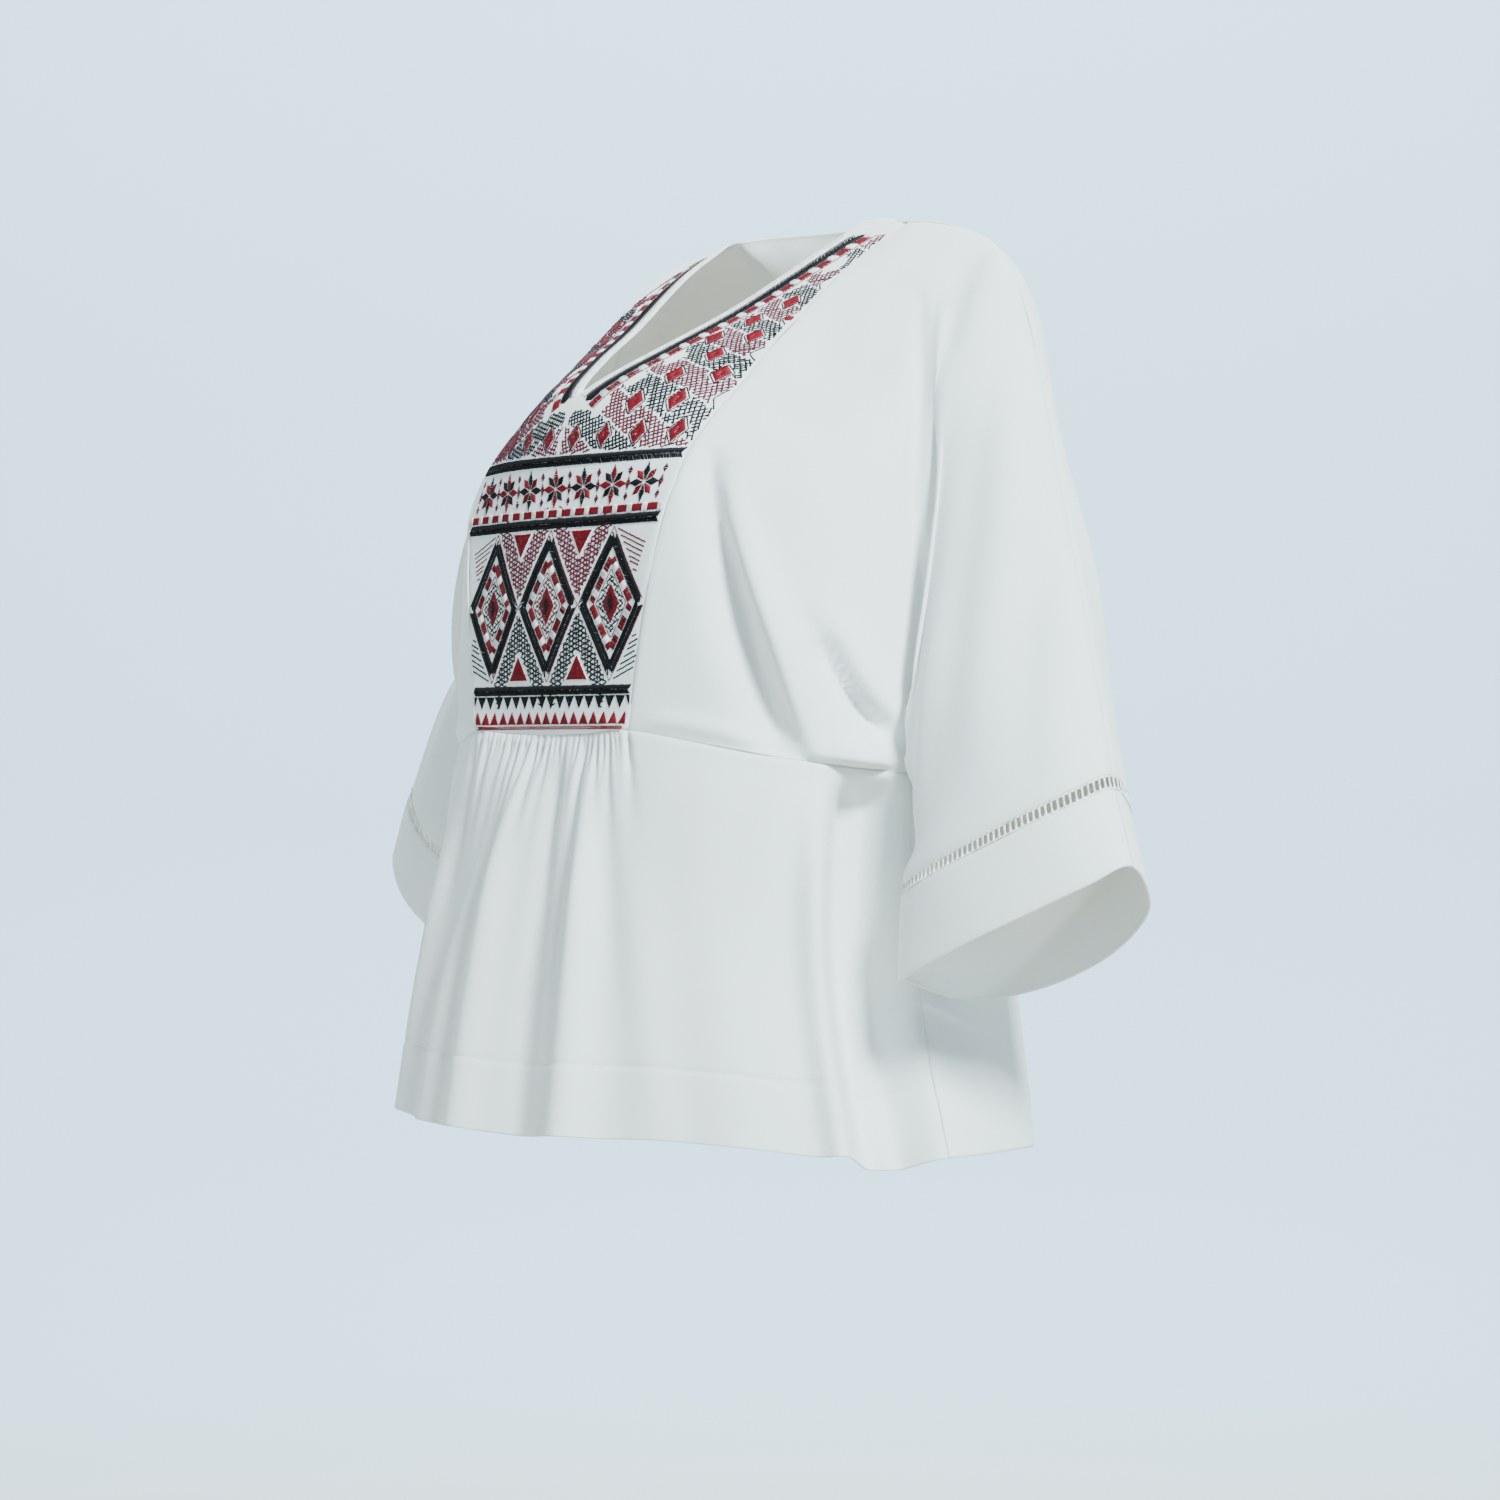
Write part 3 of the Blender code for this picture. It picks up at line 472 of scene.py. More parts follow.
def fold(grid, normal, path, depth, widths):
    """Relief of one drag fold at each point of a grid.

    The path is a smooth curve through its points.  The relief is the depth
    times a bell across the path, with its own width on each side, times a half
    sine along it.
    """
    line = smooth(steered(np.array(path)), np.linspace(0, len(path) - 1, FOLD_PIECES + 1))
    start, step = line[:-1], np.diff(line, axis=0)
    here = grid[..., None, :] - start
    along = np.clip((here * step).sum(-1) / (step ** 2).sum(-1), 0, 1)
    off = here - along[..., None] * step
    away = np.sqrt((off ** 2).sum(-1))
    nearest = away.argmin(-1)[..., None]
    side = (np.cross(step, off) * normal[..., None, :]).sum(-1)
    far, left, run = (np.take_along_axis(each, nearest, -1)[..., 0]
                      for each in (away, side, along + np.arange(FOLD_PIECES)))
    width = np.where(left > 0, widths[0], widths[1])
    return depth * np.exp(-(far / width) ** 2) * np.sin(math.pi * (0.04 + 0.92 * run / FOLD_PIECES)) ** 0.7


def ripple(grid, scale, depth, seed):
    """Slight unevenness: a sum of seven sine waves in uneven directions."""
    dice = np.random.default_rng(seed)
    total = np.zeros(grid.shape[:2])
    for _ in range(7):
        way = dice.normal(size=3) * (1.0, 1.0, 0.55) * 2 * math.pi / scale
        total += np.sin(grid @ way + dice.uniform(0, 6.3)) / 7
    return total * depth


def lengths(grid, axis):
    """Distance from the first line of a grid, along each row or column."""
    step = np.linalg.norm(np.diff(grid, axis=axis), axis=-1)
    start = np.zeros_like(step.take([0], axis=axis))
    return np.concatenate([start, np.cumsum(step, axis=axis)], axis=axis)


def away_from(grid, side):
    """Distance of each point along the cloth from one edge of its grid."""
    run = lengths(grid, 0 if side in ("top", "bottom") else 1)
    if side in ("top", "left"):
        return run
    return (run[-1:] if side == "bottom" else run[:, -1:]) - run


def edge_fade(grid, fades):
    """Weights that fall to 0 at each named edge, over its own distance."""
    return math.prod(ease(away_from(grid, side) / width) for side, width in fades.items())


def seam_roll(grid, sides, depth=0.0007, width=0.0035):
    """A groove at the named edges, where the cloth turns in to its seam."""
    return -depth * sum(1 - ease(away_from(grid, side) / width) for side in sides)


def run_of(line):
    """Distance along a line from its start."""
    return np.concatenate([[0.0], np.cumsum(np.linalg.norm(np.diff(line, axis=0), axis=1))])


def at_run(where, run, values):
    """Values of a line at distances along it, each coordinate on its own."""
    return np.stack([np.interp(where, run, each) for each in values.T], axis=-1)


def places_of(*parts):
    """All the places of some lists in order, without those that nearly meet."""
    places = np.unique(np.round(np.concatenate(parts), 9))
    return places[np.concatenate([[True], np.diff(places) > 0.0015])]


def close_to(start, end, count, near):
    """Even places with two more just inside each end."""
    extra = [start + near, start + 2.2 * near, end - near, end - 2.2 * near]
    return places_of(np.linspace(start, end, count), extra)


def gathers(levels, columns):
    """Relief of the lower front: small gathers under the panel and broad flutes below.

    Each gather is a narrow trough with its own place, lean, depth and length.
    It widens as it fades.  A flute is a bell across the cloth, along a line
    from a column at the top to one at the hem, and grows with its height.
    """
    dice = np.random.default_rng(7)
    half = float(SKIRT_PANEL_COLUMN)
    below = levels[:, None] * SKIRT_LENGTH
    column = columns[None, :]
    relief = np.zeros((len(levels), len(columns)))
    pitch = 2 * half / GATHERS
    start = 0.34 + 0.66 * ease(below / 0.007)
    for k in range(GATHERS + 1):
        place = -half + k * pitch + dice.uniform(-0.42, 0.42) * pitch
        lean = place * 0.6 + dice.uniform(-1.8, 1.8)
        reach = dice.choice((0.014, 0.024, 0.040, 0.065, 0.120)) * dice.uniform(0.8, 1.3)
        depth = dice.uniform(0.0010, 0.0046)
        width = pitch * (dice.uniform(0.18, 0.32) + 1.2 * below / 0.10)
        strength = start * np.exp(-(below / reach) ** 1.6) * (0.05 / (0.05 + 0.35 * below))
        relief -= depth * strength * np.exp(-((column - place - lean * below * 0.9) / width) ** 2)
    waves = np.zeros_like(relief)
    for top, hem, width, height, begins in FLUTES:
        place = top + (hem - top) * levels[:, None]
        grown = ease((below - begins) / (0.030 if height < 0 else 0.110))
        waves += height * grown * np.exp(-((column - place) / width) ** 2)
    relief += waves - 0.8 * waves.mean(axis=1, keepdims=True)
    return relief * ease((SKIRT_SIDE_COLUMN - np.abs(column)) / 0.30)


def panel_relief(x, height):
    """Slight waves of the front panel: two crossed sines."""
    return 0.0006 * (np.sin(x * 47 + height * 21 + 0.5) + np.sin(height * 52 - x * 18 + 1.1))


def index_grid(shape, first=0):
    """Numbers of a grid's vertices, row by row."""
    return first + np.arange(shape[0] * shape[1]).reshape(shape[:2])


def quads(index):
    """Faces between neighbouring rows and columns of a grid of vertex numbers."""
    return np.stack([index[:-1, :-1], index[:-1, 1:], index[1:, 1:], index[1:, :-1]], axis=-1).reshape(-1, 4)


def added(name, data):
    """An object of the given data, in the scene."""
    thing = bpy.data.objects.new(name, data)
    bpy.context.scene.collection.objects.link(thing)
    return thing


def new_mesh(name, vertices, faces, uv=None):
    """A mesh from arrays, smooth-shaded, with a UV map in metres if one is given."""
    mesh = bpy.data.meshes.new(name)
    mesh.from_pydata(vertices.tolist(), [], faces if isinstance(faces, list) else faces.tolist())
    mesh.polygons.foreach_set("use_smooth", np.ones(len(mesh.polygons), dtype=bool))
    if uv is not None:
        corners = np.empty(len(mesh.loops), dtype=int)
        mesh.loops.foreach_get("vertex_index", corners)
        layer = mesh.uv_layers.new(name="cloth")
        layer.data.foreach_set("uv", uv[corners].astype(np.float32).ravel())
    return added(name, mesh)


def finish_piece(piece, material, nodes=()):
    """Material, body and the solids that a piece stands for."""
    piece.data.materials.append(material)
    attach(piece, BODY)
    if nodes:
        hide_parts(*nodes)
    return piece


def thicken(piece, thickness):
    """A wall of even thickness about the surface."""
    wall = piece.modifiers.new("wall", "SOLIDIFY")
    wall.thickness = thickness
    wall.offset = 0.0


def cloth_panel(name, grids, faces_out, material, thickness, weld=None):
    """A panel of one or two grids.  The second starts from part of the first one's last row."""
    grid = grids[0]
    index = index_grid(grid.shape)
    vertices = [grid.reshape(-1, 3)]
    uv = [np.stack([lengths(grid, 1), -lengths(grid, 0)], axis=-1).reshape(-1, 2)]
    faces = [quads(index)]
    if weld is not None:
        lower = grids[1]
        later = index_grid((lower.shape[0] - 1, lower.shape[1]), grid.shape[0] * grid.shape[1])
        shared = index[-1, weld[0]:weld[1]]
        faces.append(quads(np.concatenate([shared[None], later])))
        vertices.append(lower[1:].reshape(-1, 3))
        start = uv[0].reshape(grid.shape[0], -1, 2)[-1, weld[0]:weld[1]]
        down = lengths(lower, 0)[1:]
        uv.append(np.stack([start[:, 0] + 0 * down, start[:, 1] - down], axis=-1).reshape(-1, 2))
    vertices, uv, faces = (np.concatenate(part) for part in (vertices, uv, faces))
    if not faces_out:
        faces = faces[:, ::-1]
    piece = new_mesh(name, vertices, faces, uv)
    thicken(piece, thickness)
    finish_piece(piece, material, (name.replace("cloth_", ""),))
    return piece


class TopSizes(bpy.types.PropertyGroup):
    """Sizes of the cloth and of its stitches."""
    cloth_wall: bpy.props.FloatProperty(
        name="Cloth thickness", description="Thickness of each panel's shell",
        default=0.0007, unit="LENGTH")
    cuff_wall: bpy.props.FloatProperty(
        name="Cuff thickness", description="Thickness of the doubled cuff",
        default=0.0012, unit="LENGTH")
    fold_strength: bpy.props.FloatProperty(
        name="Fold strength", description="Scale of all drag folds", default=1.0)
    thread: bpy.props.FloatProperty(
        name="Thread width", description="Width of one embroidery stitch",
        default=0.00072, unit="LENGTH")
    satin_step: bpy.props.FloatProperty(
        name="Satin spacing", description="Distance between neighbouring satin stitches",
        default=0.00066, unit="LENGTH")
    sewing_stitch: bpy.props.FloatProperty(
        name="Sewing stitch", description="Length of one machine stitch",
        default=0.0026, unit="LENGTH")


class TopColours(bpy.types.PropertyGroup):
    """Colours of the cloth and threads."""
    cotton: bpy.props.FloatVectorProperty(
        name="Cotton", description="Colour of the white cloth", subtype="COLOR",
        default=(0.810, 0.825, 0.805))
    white: bpy.props.FloatVectorProperty(
        name="White thread", description="Colour of the white thread", subtype="COLOR",
        default=(0.86, 0.86, 0.85))
    crimson: bpy.props.FloatVectorProperty(
        name="Crimson thread", description="Colour of the bright red thread", subtype="COLOR",
        default=(0.185, 0.004, 0.012))
    maroon: bpy.props.FloatVectorProperty(
        name="Maroon thread", description="Colour of the dark red thread", subtype="COLOR",
        default=(0.105, 0.004, 0.018))
    black: bpy.props.FloatVectorProperty(
        name="Black thread", description="Colour of the black thread", subtype="COLOR",
        default=(0.0035, 0.0035, 0.0055))


class StageSettings(bpy.types.PropertyGroup):
    """Camera, floor and lights."""
    lens: bpy.props.FloatProperty(name="Lens", description="Focal length in millimetres", default=91.44)
    distance: bpy.props.FloatProperty(
        name="Distance", description="Camera's distance from the top", default=2.4, unit="LENGTH")
    azimuth: bpy.props.FloatProperty(
        name="Azimuth", description="Camera's turn round the top",
        default=math.radians(52), subtype="ANGLE", unit="ROTATION")
    floor_height: bpy.props.FloatProperty(
        name="Floor height", description="Height of the floor below the shoulders",
        default=-1.40, unit="LENGTH")
    wall_colour: bpy.props.FloatVectorProperty(
        name="Wall colour", description="Colour of the far wall", subtype="COLOR",
        default=(0.43, 0.575, 0.68))
    floor_colour: bpy.props.FloatVectorProperty(
        name="Floor colour", description="Colour of the floor under the top", subtype="COLOR",
        default=(0.50, 0.445, 0.36))
    key: bpy.props.FloatProperty(name="Key light", description="Power of the main soft light", default=530.0)


def sizes():
    return bpy.context.scene.top_sizes


def colours():
    return bpy.context.scene.top_colours


def start_material(name, **sockets):
    """A new material, with its shader's plain sockets set by their names."""
    material = bpy.data.materials.new(name)
    material.use_nodes = True
    shader = material.node_tree.nodes["Principled BSDF"]
    for socket, value in sockets.items():
        shader.inputs[socket.replace("_", " ")].default_value = value
    return material, material.node_tree, shader


def node_of(tree, kind, feeds=(), **values):
    """A shader node with the given settings and socket values, and links into its sockets."""
    node = tree.nodes.new(kind)
    for name, value in values.items():
        if name in node.inputs:
            node.inputs[name].default_value = value
        else:
            setattr(node, name, value)
    for socket, source in feeds:
        tree.links.new(source, node.inputs[socket])
    return node


def two_tone(tree, source, low, high, colours_of):
    """A blend from one colour to another as the source goes from low to high."""
    ramp = node_of(tree, "ShaderNodeValToRGB", [("Fac", source)])
    for stop, place, colour in zip(ramp.color_ramp.elements, (low, high), colours_of):
        stop.position = place
        stop.color = (*colour, 1)
    return ramp.outputs["Color"]


def shades(colour, dark, light):
    """A colour made darker and lighter."""
    return [c * dark for c in colour], [min(c * light, 1.0) for c in colour]


def cotton_material(name, colour, weave=0.00042, strength=0.35):
    """Plain-woven cotton: crossed thread waves with uneven slubs, on the panel's UV map in metres."""
    if name in bpy.data.materials:
        return bpy.data.materials[name]
    material, tree, shader = start_material(name, Roughness=0.86, Specular_IOR_Level=0.22,
                                            Subsurface_Weight=0.15, Subsurface_Radius=(1.0, 0.72, 0.42),
                                            Subsurface_Scale=0.006, Sheen_Weight=0.18, Sheen_Roughness=0.6)
    place = node_of(tree, "ShaderNodeUVMap", uv_map="cloth").outputs["UV"]
    waves, slubs = [], []
    for bands, phase in (("X", 0.0), ("Y", 1.57)):
        wave = node_of(tree, "ShaderNodeTexWave", [("Vector", place)], Scale=0.314 / weave, Distortion=0.6,
                       bands_direction=bands)
        wave.inputs["Phase Offset"].default_value = phase
        wave.inputs["Detail Scale"].default_value = 0.4
        waves.append(wave.outputs["Fac"])
    for stretch in ((2600.0, 60.0, 1.0), (60.0, 2600.0, 1.0)):
        mapping = node_of(tree, "ShaderNodeMapping", [("Vector", place)], Scale=stretch)
        noise = node_of(tree, "ShaderNodeTexNoise", [("Vector", mapping.outputs["Vector"])],
                        Scale=1.0, Detail=2.0)
        slubs.append(noise.outputs["Fac"])
    cross = node_of(tree, "ShaderNodeMath", enumerate(waves), operation="MULTIPLY")
    slub = node_of(tree, "ShaderNodeMath", enumerate(slubs), operation="ADD")
    height = node_of(tree, "ShaderNodeMath", enumerate((cross.outputs[0], slub.outputs[0])), operation="ADD")
    bump = node_of(tree, "ShaderNodeBump", [("Height", height.outputs[0])],
                   Strength=strength, Distance=0.00012)
    cloudy = node_of(tree, "ShaderNodeTexNoise", [("Vector", place)], Scale=9.0, Detail=3.0, Roughness=0.5)
    tone = node_of(tree, "ShaderNodeMath", [(0, slub.outputs[0]), (2, cloudy.outputs["Fac"])],
                   operation="MULTIPLY_ADD")
    tone.inputs[1].default_value = 0.35
    ramp = two_tone(tree, tone.outputs[0], 0.45, 1.0, shades(colour, 0.955, 1.02))
    tree.links.new(ramp, shader.inputs["Base Color"])
    tree.links.new(bump.outputs["Normal"], shader.inputs["Normal"])
    return material


def thread_material(name, colour, roughness=0.6, shine=0.25):
    """Twisted lustrous thread: fine slanting ply lines and a little tone from place to place."""
    if name in bpy.data.materials:
        return bpy.data.materials[name]
    material, tree, shader = start_material(name, Roughness=roughness, Specular_IOR_Level=shine)
    place = node_of(tree, "ShaderNodeTexCoord").outputs["Object"]
    ply = node_of(tree, "ShaderNodeTexWave", [("Vector", place)], Scale=900.0, Distortion=1.2,
                  bands_direction="DIAGONAL")
    bump = node_of(tree, "ShaderNodeBump", [("Height", ply.outputs["Fac"])], Strength=0.25, Distance=0.0001)
    tone = node_of(tree, "ShaderNodeTexNoise", [("Vector", place)], Scale=260.0, Detail=2.0)
    ramp = two_tone(tree, tone.outputs["Fac"], 0.3, 0.7, shades(colour, 0.72, 1.25))
    tree.links.new(ramp, shader.inputs["Base Color"])
    tree.links.new(bump.outputs["Normal"], shader.inputs["Normal"])
    return material


def cloth_white():
    return cotton_material("white_cotton", tuple(colours().cotton))


def spindles(starts, ends, normals, width, height):
    """Closed stitches between pairs of points.

    Each is a little longer than the distance, and has a point at both ends and
    two three-cornered rings near them: left, right and a raised top.
    """
    along = (ends - starts) * 1.12
    starts = starts - along * 0.054
    side = np.cross(normals, along)
    side /= np.maximum(np.linalg.norm(side, axis=1, keepdims=True), 1e-9)
    width = np.broadcast_to(np.asarray(width, dtype=float), len(starts))[:, None] / 2
    height = np.broadcast_to(np.asarray(height, dtype=float), len(starts))[:, None]
    low = normals * height * -0.25
    rings = []
    for share in (0.12, 0.88):
        middle = starts + along * share
        rings += [middle + side * width + low, middle - side * width + low, middle + normals * height]
    vertices = np.stack([starts + low * 2, *rings, starts + along + low * 2], axis=1)
    first = 8 * np.arange(len(starts))[:, None]
    ends_faces = np.array([(0, 2, 1), (0, 3, 2), (0, 1, 3), (7, 4, 5), (7, 5, 6), (7, 6, 4)])
    side_faces = np.array([(1, 2, 5, 4), (2, 3, 6, 5), (3, 1, 4, 6)])
    faces = (first[:, :, None] + ends_faces[None]).reshape(-1, 3).tolist()
    faces += (first[:, :, None] + side_faces[None]).reshape(-1, 4).tolist()
    return vertices.reshape(-1, 3), faces


def merged(parts):
    """The vertices and faces of several forms as one."""
    vertices, faces, count = [], [], 0
    for made, joined in parts:
        vertices.append(made)
        faces += [[corner + count for corner in face] for face in joined]
        count += len(made)
    return np.concatenate(vertices), faces


def thread_piece(name, groups, material):
    """One piece of many stitches, each group given as starts, ends, normals, width and height."""
    return finish_piece(new_mesh(name, *merged(spindles(*group) for group in groups)), material)


def neck_height(shares):
    """Height of the panel's upper edge: curved along the V, straight along the shoulder."""
    edge = np.array(NECK_EDGE)
    curved = through(edge[:7, 0], edge[:7, 1], np.minimum(shares, SHOULDER_SHARE))
    return np.where(shares >= SHOULDER_SHARE, np.interp(shares, edge[:, 0], edge[:, 1]), curved)


def bib_grid():
    """The front panel's half: rows from the neck edge down to the waist seam."""
    shares = close_to(0.0, 1.0, 42, 0.012)
    shares = places_of(shares, [SHOULDER_SHARE])
    top = neck_height(shares)
    bottom = waist_seam(shares * SKIRT_PANEL_COLUMN)
    height = top + (bottom[:, 2] - top) * close_to(0.0, 1.0, 96, 0.006)[:, None]
    grid = bib_point(np.broadcast_to(shares, height.shape), height)
    return pin(grid, bottom, SEAM_SHARE)


class TOP_OT_panel(bpy.types.Operator):
    """Front panel with the neck's V and both shoulder strips"""
    bl_idname = "top.panel"
    bl_label = "Front panel"

    def execute(self, context):
        grid = both_sides(bib_grid())
        relief = panel_relief(grid[..., 0], grid[..., 2]) + seam_roll(grid, ("left", "right", "bottom"))
        relief += seam_roll(grid, ("top",), 0.0009, 0.0030)
        grid = grid + outward(grid, FORWARD) * relief[..., None]
        cloth_panel("cloth_bib", [grid], False, cloth_white(), sizes().cloth_wall)
        return {"FINISHED"}


class TOP_OT_fronts(bpy.types.Operator):
    """Side fronts, each in one with the front half of its sleeve"""
    bl_idname = "top.fronts"
    bl_label = "Side fronts"

    def execute(self, context):
        rows = close_to(0.0, LAST_ROW, 132, 0.018)
        columns = places_of(close_to(0.0, FRONT_SIDE_COLUMN, 64, 0.03),
                            close_to(FRONT_SIDE_COLUMN, FRONT_SLEEVE_END, 72, 0.02))
        plain = front_surface(rows, columns)
        plain_out = outward(plain, FORWARD)
        folds = sum(fold(plain, plain_out, *each) for each in FRONT_FOLDS) * sizes().fold_strength
        folds = folds * edge_fade(plain, FRONT_FADES)
        for side, seed in (("left", 3), ("right", 11)):
            left = side == "left"
            grid = plain if left else mirrored(plain)
            relief = folds if left else folds[:, ::-1] * RIGHT_FRONT_FOLDS
            relief = relief + ripple(grid, 0.11, 0.0016, seed)
            relief = relief + seam_roll(grid, ("left", "right", "top", "bottom"))
            grid = grid + outward(grid, FORWARD) * relief[..., None]
            cloth_panel("cloth_front_" + side, [grid], False, cloth_white(), sizes().cloth_wall)
        return {"FINISHED"}


def back_grids():
    """The finished back: its upper part, its lower part, and the upper columns that they share."""
    rows = close_to(0.0, LAST_ROW, 84, 0.025)
    body = places_of(np.linspace(0.0, 3.0, 26), close_to(3.0, SIDE_COLUMN, 36, 0.03))
    columns = places_of(body, close_to(SIDE_COLUMN, SLEEVE_END, 72, 0.02))
    upper = back_surface(rows, columns)
    levels = close_to(0.0, 1.0, 60, 0.008)
    lower = back_lower_surface(levels, body, upper[-1, :len(body)])
    plain_out = outward(upper, REARWARD)
    relief = sum(fold(upper, plain_out, *each) for each in BACK_FOLDS) * sizes().fold_strength
    relief *= edge_fade(upper, BACK_FADES)
    relief = np.concatenate([relief[:, :0:-1] * RIGHT_BACK_FOLDS, relief], axis=1)
    upper, lower = both_sides(upper), both_sides(lower)
    first = len(columns) - len(body)
    last = first + lower.shape[1]
    relief += ripple(upper, 0.12, 0.0016, 5) + seam_roll(upper, ("left", "right", "top"))
    under = seam_roll(upper, ("bottom",))
    under[:, first:last] = 0
    relief += under
    flutes = np.zeros(lower.shape[:2])
    for x, width, depth, lean in BACK_FLUTES:
        place = x + lean * (1 - levels[:, None])
        flutes += depth * ease(levels[:, None]) * np.exp(-((lower[..., 0] - place) / width) ** 2)
    flutes *= edge_fade(lower, FLUTE_FADES)
    flutes += seam_roll(lower, ("left", "right")) + ripple(lower, 0.12, 0.0016, 5)
    flutes += hem_relief(lower)
    upper = upper + outward(upper, REARWARD) * relief[..., None]
    lower = lower + outward(lower, REARWARD) * flutes[..., None]
    return upper, pin(lower, upper[-1, first:last], 0.12, last=False), (first, last)


class TOP_OT_back(bpy.types.Operator):
    """Back in one piece from the neck to the hem and out along both sleeves"""
    bl_idname = "top.back"
    bl_label = "Back"

    def execute(self, context):
        upper, lower, shared = back_grids()
        cloth_panel("cloth_back", [upper, lower], True, cloth_white(), sizes().cloth_wall,
                    weld=shared)
        return {"FINISHED"}


def hem_relief(grid):
    """The turned hem: a sewn groove above it, and the doubled cloth a little proud below."""
    up = away_from(grid, "bottom")
    groove = -0.00045 * np.exp(-((up - HEM_DEPTH) / 0.0016) ** 2)
    return groove + 0.0003 * (1 - ease((up - HEM_DEPTH + 0.002) / 0.002))


def skirt_grid():
    """The finished lower front: its plain form with gathers, flutes and hem."""
    levels = places_of(np.linspace(0, 0.16, 26), np.linspace(0.16, 1.0, 58),
                       1 - np.array((0.004, 0.010, 0.172, 0.176, 0.180, 0.184, 0.188)))
    half = float(SKIRT_PANEL_COLUMN)
    middle = np.linspace(-half, half, GATHERS * 11 + 1)
    side = close_to(half, SKIRT_SIDE_COLUMN, 70, 0.02)
    columns = places_of(-side, middle, side)
    grid = skirt_surface(levels, columns)
    relief = gathers(levels, columns) + seam_roll(grid, ("left", "right", "top")) + hem_relief(grid)
    relief += ripple(grid, 0.10, 0.0012, 21) * ease(lengths(grid, 0) / 0.03)
    return grid + outward(grid, FORWARD) * relief[..., None]


class TOP_OT_skirt(bpy.types.Operator):
    """Gathered lower front with its deep hem"""
    bl_idname = "top.skirt"
    bl_label = "Lower front"

    def execute(self, context):
        cloth_panel("cloth_skirt_front", [skirt_grid()], False, cloth_white(), sizes().cloth_wall)
        return {"FINISHED"}


def cuff_grid():
    """The left cuff, round its whole loop, from the openwork to its edge, with its outward normals."""
    rows = np.linspace(0.0, LAST_ROW, 84)
    share = close_to(INSERT_SHARE, 1.0, 24, 0.02)
    front = front_surface(rows, FRONT_SLEEVE_END + share)
    back = back_surface(rows, SLEEVE_END + share)
    loop = np.concatenate([front, back[-2::-1]])
    groove = 0.0003 * np.exp(-((away_from(loop, "left") - 0.006) / 0.0012) ** 2)
    relief = seam_roll(loop, ("left",), 0.0006, 0.003) + seam_roll(loop, ("right",), 0.0005, 0.0025) - groove
    relief += ripple(loop, 0.09, 0.0012, 31)
    normal = outward(loop, FORWARD)
    away = loop - loop.mean(axis=(0, 1))
    normal = normal if (normal * away).sum() > 0 else -normal
    loop = loop + normal * relief[..., None]
    loop[-1] = loop[0]
    return loop, normal


class TOP_OT_cuffs(bpy.types.Operator):
    """Plain doubled bands at the sleeves' ends"""
    bl_idname = "top.cuffs"
    bl_label = "Cuffs"

    def execute(self, context):
        loop, normal = cuff_grid()
        facing = np.cross(np.gradient(loop, axis=1), np.gradient(loop, axis=0))
        out = bool((facing * normal).sum() > 0)
        for side, grid in (("left", loop), ("right", mirrored(loop))):
            cloth_panel("cloth_cuff_" + side, [grid], out, cloth_white(), sizes().cuff_wall)
        return {"FINISHED"}


def insert_rows(half):
    """Four lines of the openwork strip, from the sleeve's edge to the cuff's."""
    rows = np.linspace(0.0, LAST_ROW, 160)
    levels = INSERT_SHARE * np.array((0.0, 0.16, 0.84, 1.0))
    if half == "front":
        return front_surface(rows, FRONT_SLEEVE_END + levels)
    return back_surface(rows, SLEEVE_END + levels)


def tube(path, normals, radii, sides=6):
    """A closed tube along a path: a ring of points about each place, and a cap at each end."""
    along = np.gradient(path, axis=0)
    side = np.cross(normals, along)
    side /= np.linalg.norm(side, axis=1, keepdims=True)
    angles = np.linspace(0, 2 * math.pi, sides, endpoint=False)
    ring = (np.cos(angles)[None, :, None] * side[:, None] * radii[:, 0, None, None]
            + np.sin(angles)[None, :, None] * normals[:, None] * radii[:, 1, None, None])
    vertices = (path[:, None] + ring).reshape(-1, 3)
    index = index_grid((len(path), sides))
    around = np.concatenate([index, index[:, :1]], axis=1)
    faces = quads(around).tolist()
    return vertices, faces + [index[0].tolist(), index[-1][::-1].tolist()]


class TOP_OT_inserts(bpy.types.Operator):
    """Openwork strips above the cuffs: two corded edges with wrapped bars between them"""
    bl_idname = "top.inserts"
    bl_label = "Openwork strips"

    def execute(self, context):
        material = thread_material("insert_thread", (0.80, 0.80, 0.77), roughness=0.7)
        for half in ("front", "back"):
            lines = insert_rows(half)
            facing = outward(lines, FORWARD if half == "front" else REARWARD)
            even = lengths(lines, 0)[:, 1]
            even = even / even[-1]
            parts = []
            for upper, lower in ((0, 1), (2, 3)):
                path = (lines[:, upper] + lines[:, lower]) / 2
                parts.append(tube(path, facing[:, upper], np.tile(CORD_RADII, (len(path), 1))))
            for place in (np.arange(SLOTS_PER_HALF + 1) + 0.02) / (SLOTS_PER_HALF + 0.04):
                start, end = at_run(place, even, lines[:, 0]), at_run(place, even, lines[:, 3])
                path = start + (end - start) * np.linspace(0.04, 0.96, 5)[:, None]
                radii = np.stack([BAR_RADII, BAR_RADII * 0.7], axis=1)
                parts.append(tube(path, np.tile(at_run(place, even, facing[:, 1]), (5, 1)), radii))
            points, faces = merged(parts)
            for side in ("left", "right"):
                placed = points if side == "left" else points * MIRROR
                turn = faces if side == "left" else [face[::-1] for face in faces]
                piece = new_mesh("ladder_threads_" + half + "_" + side, placed, turn)
                node = "ladder_" + half + "_" + side
                finish_piece(piece, material, (node,))
        return {"FINISHED"}


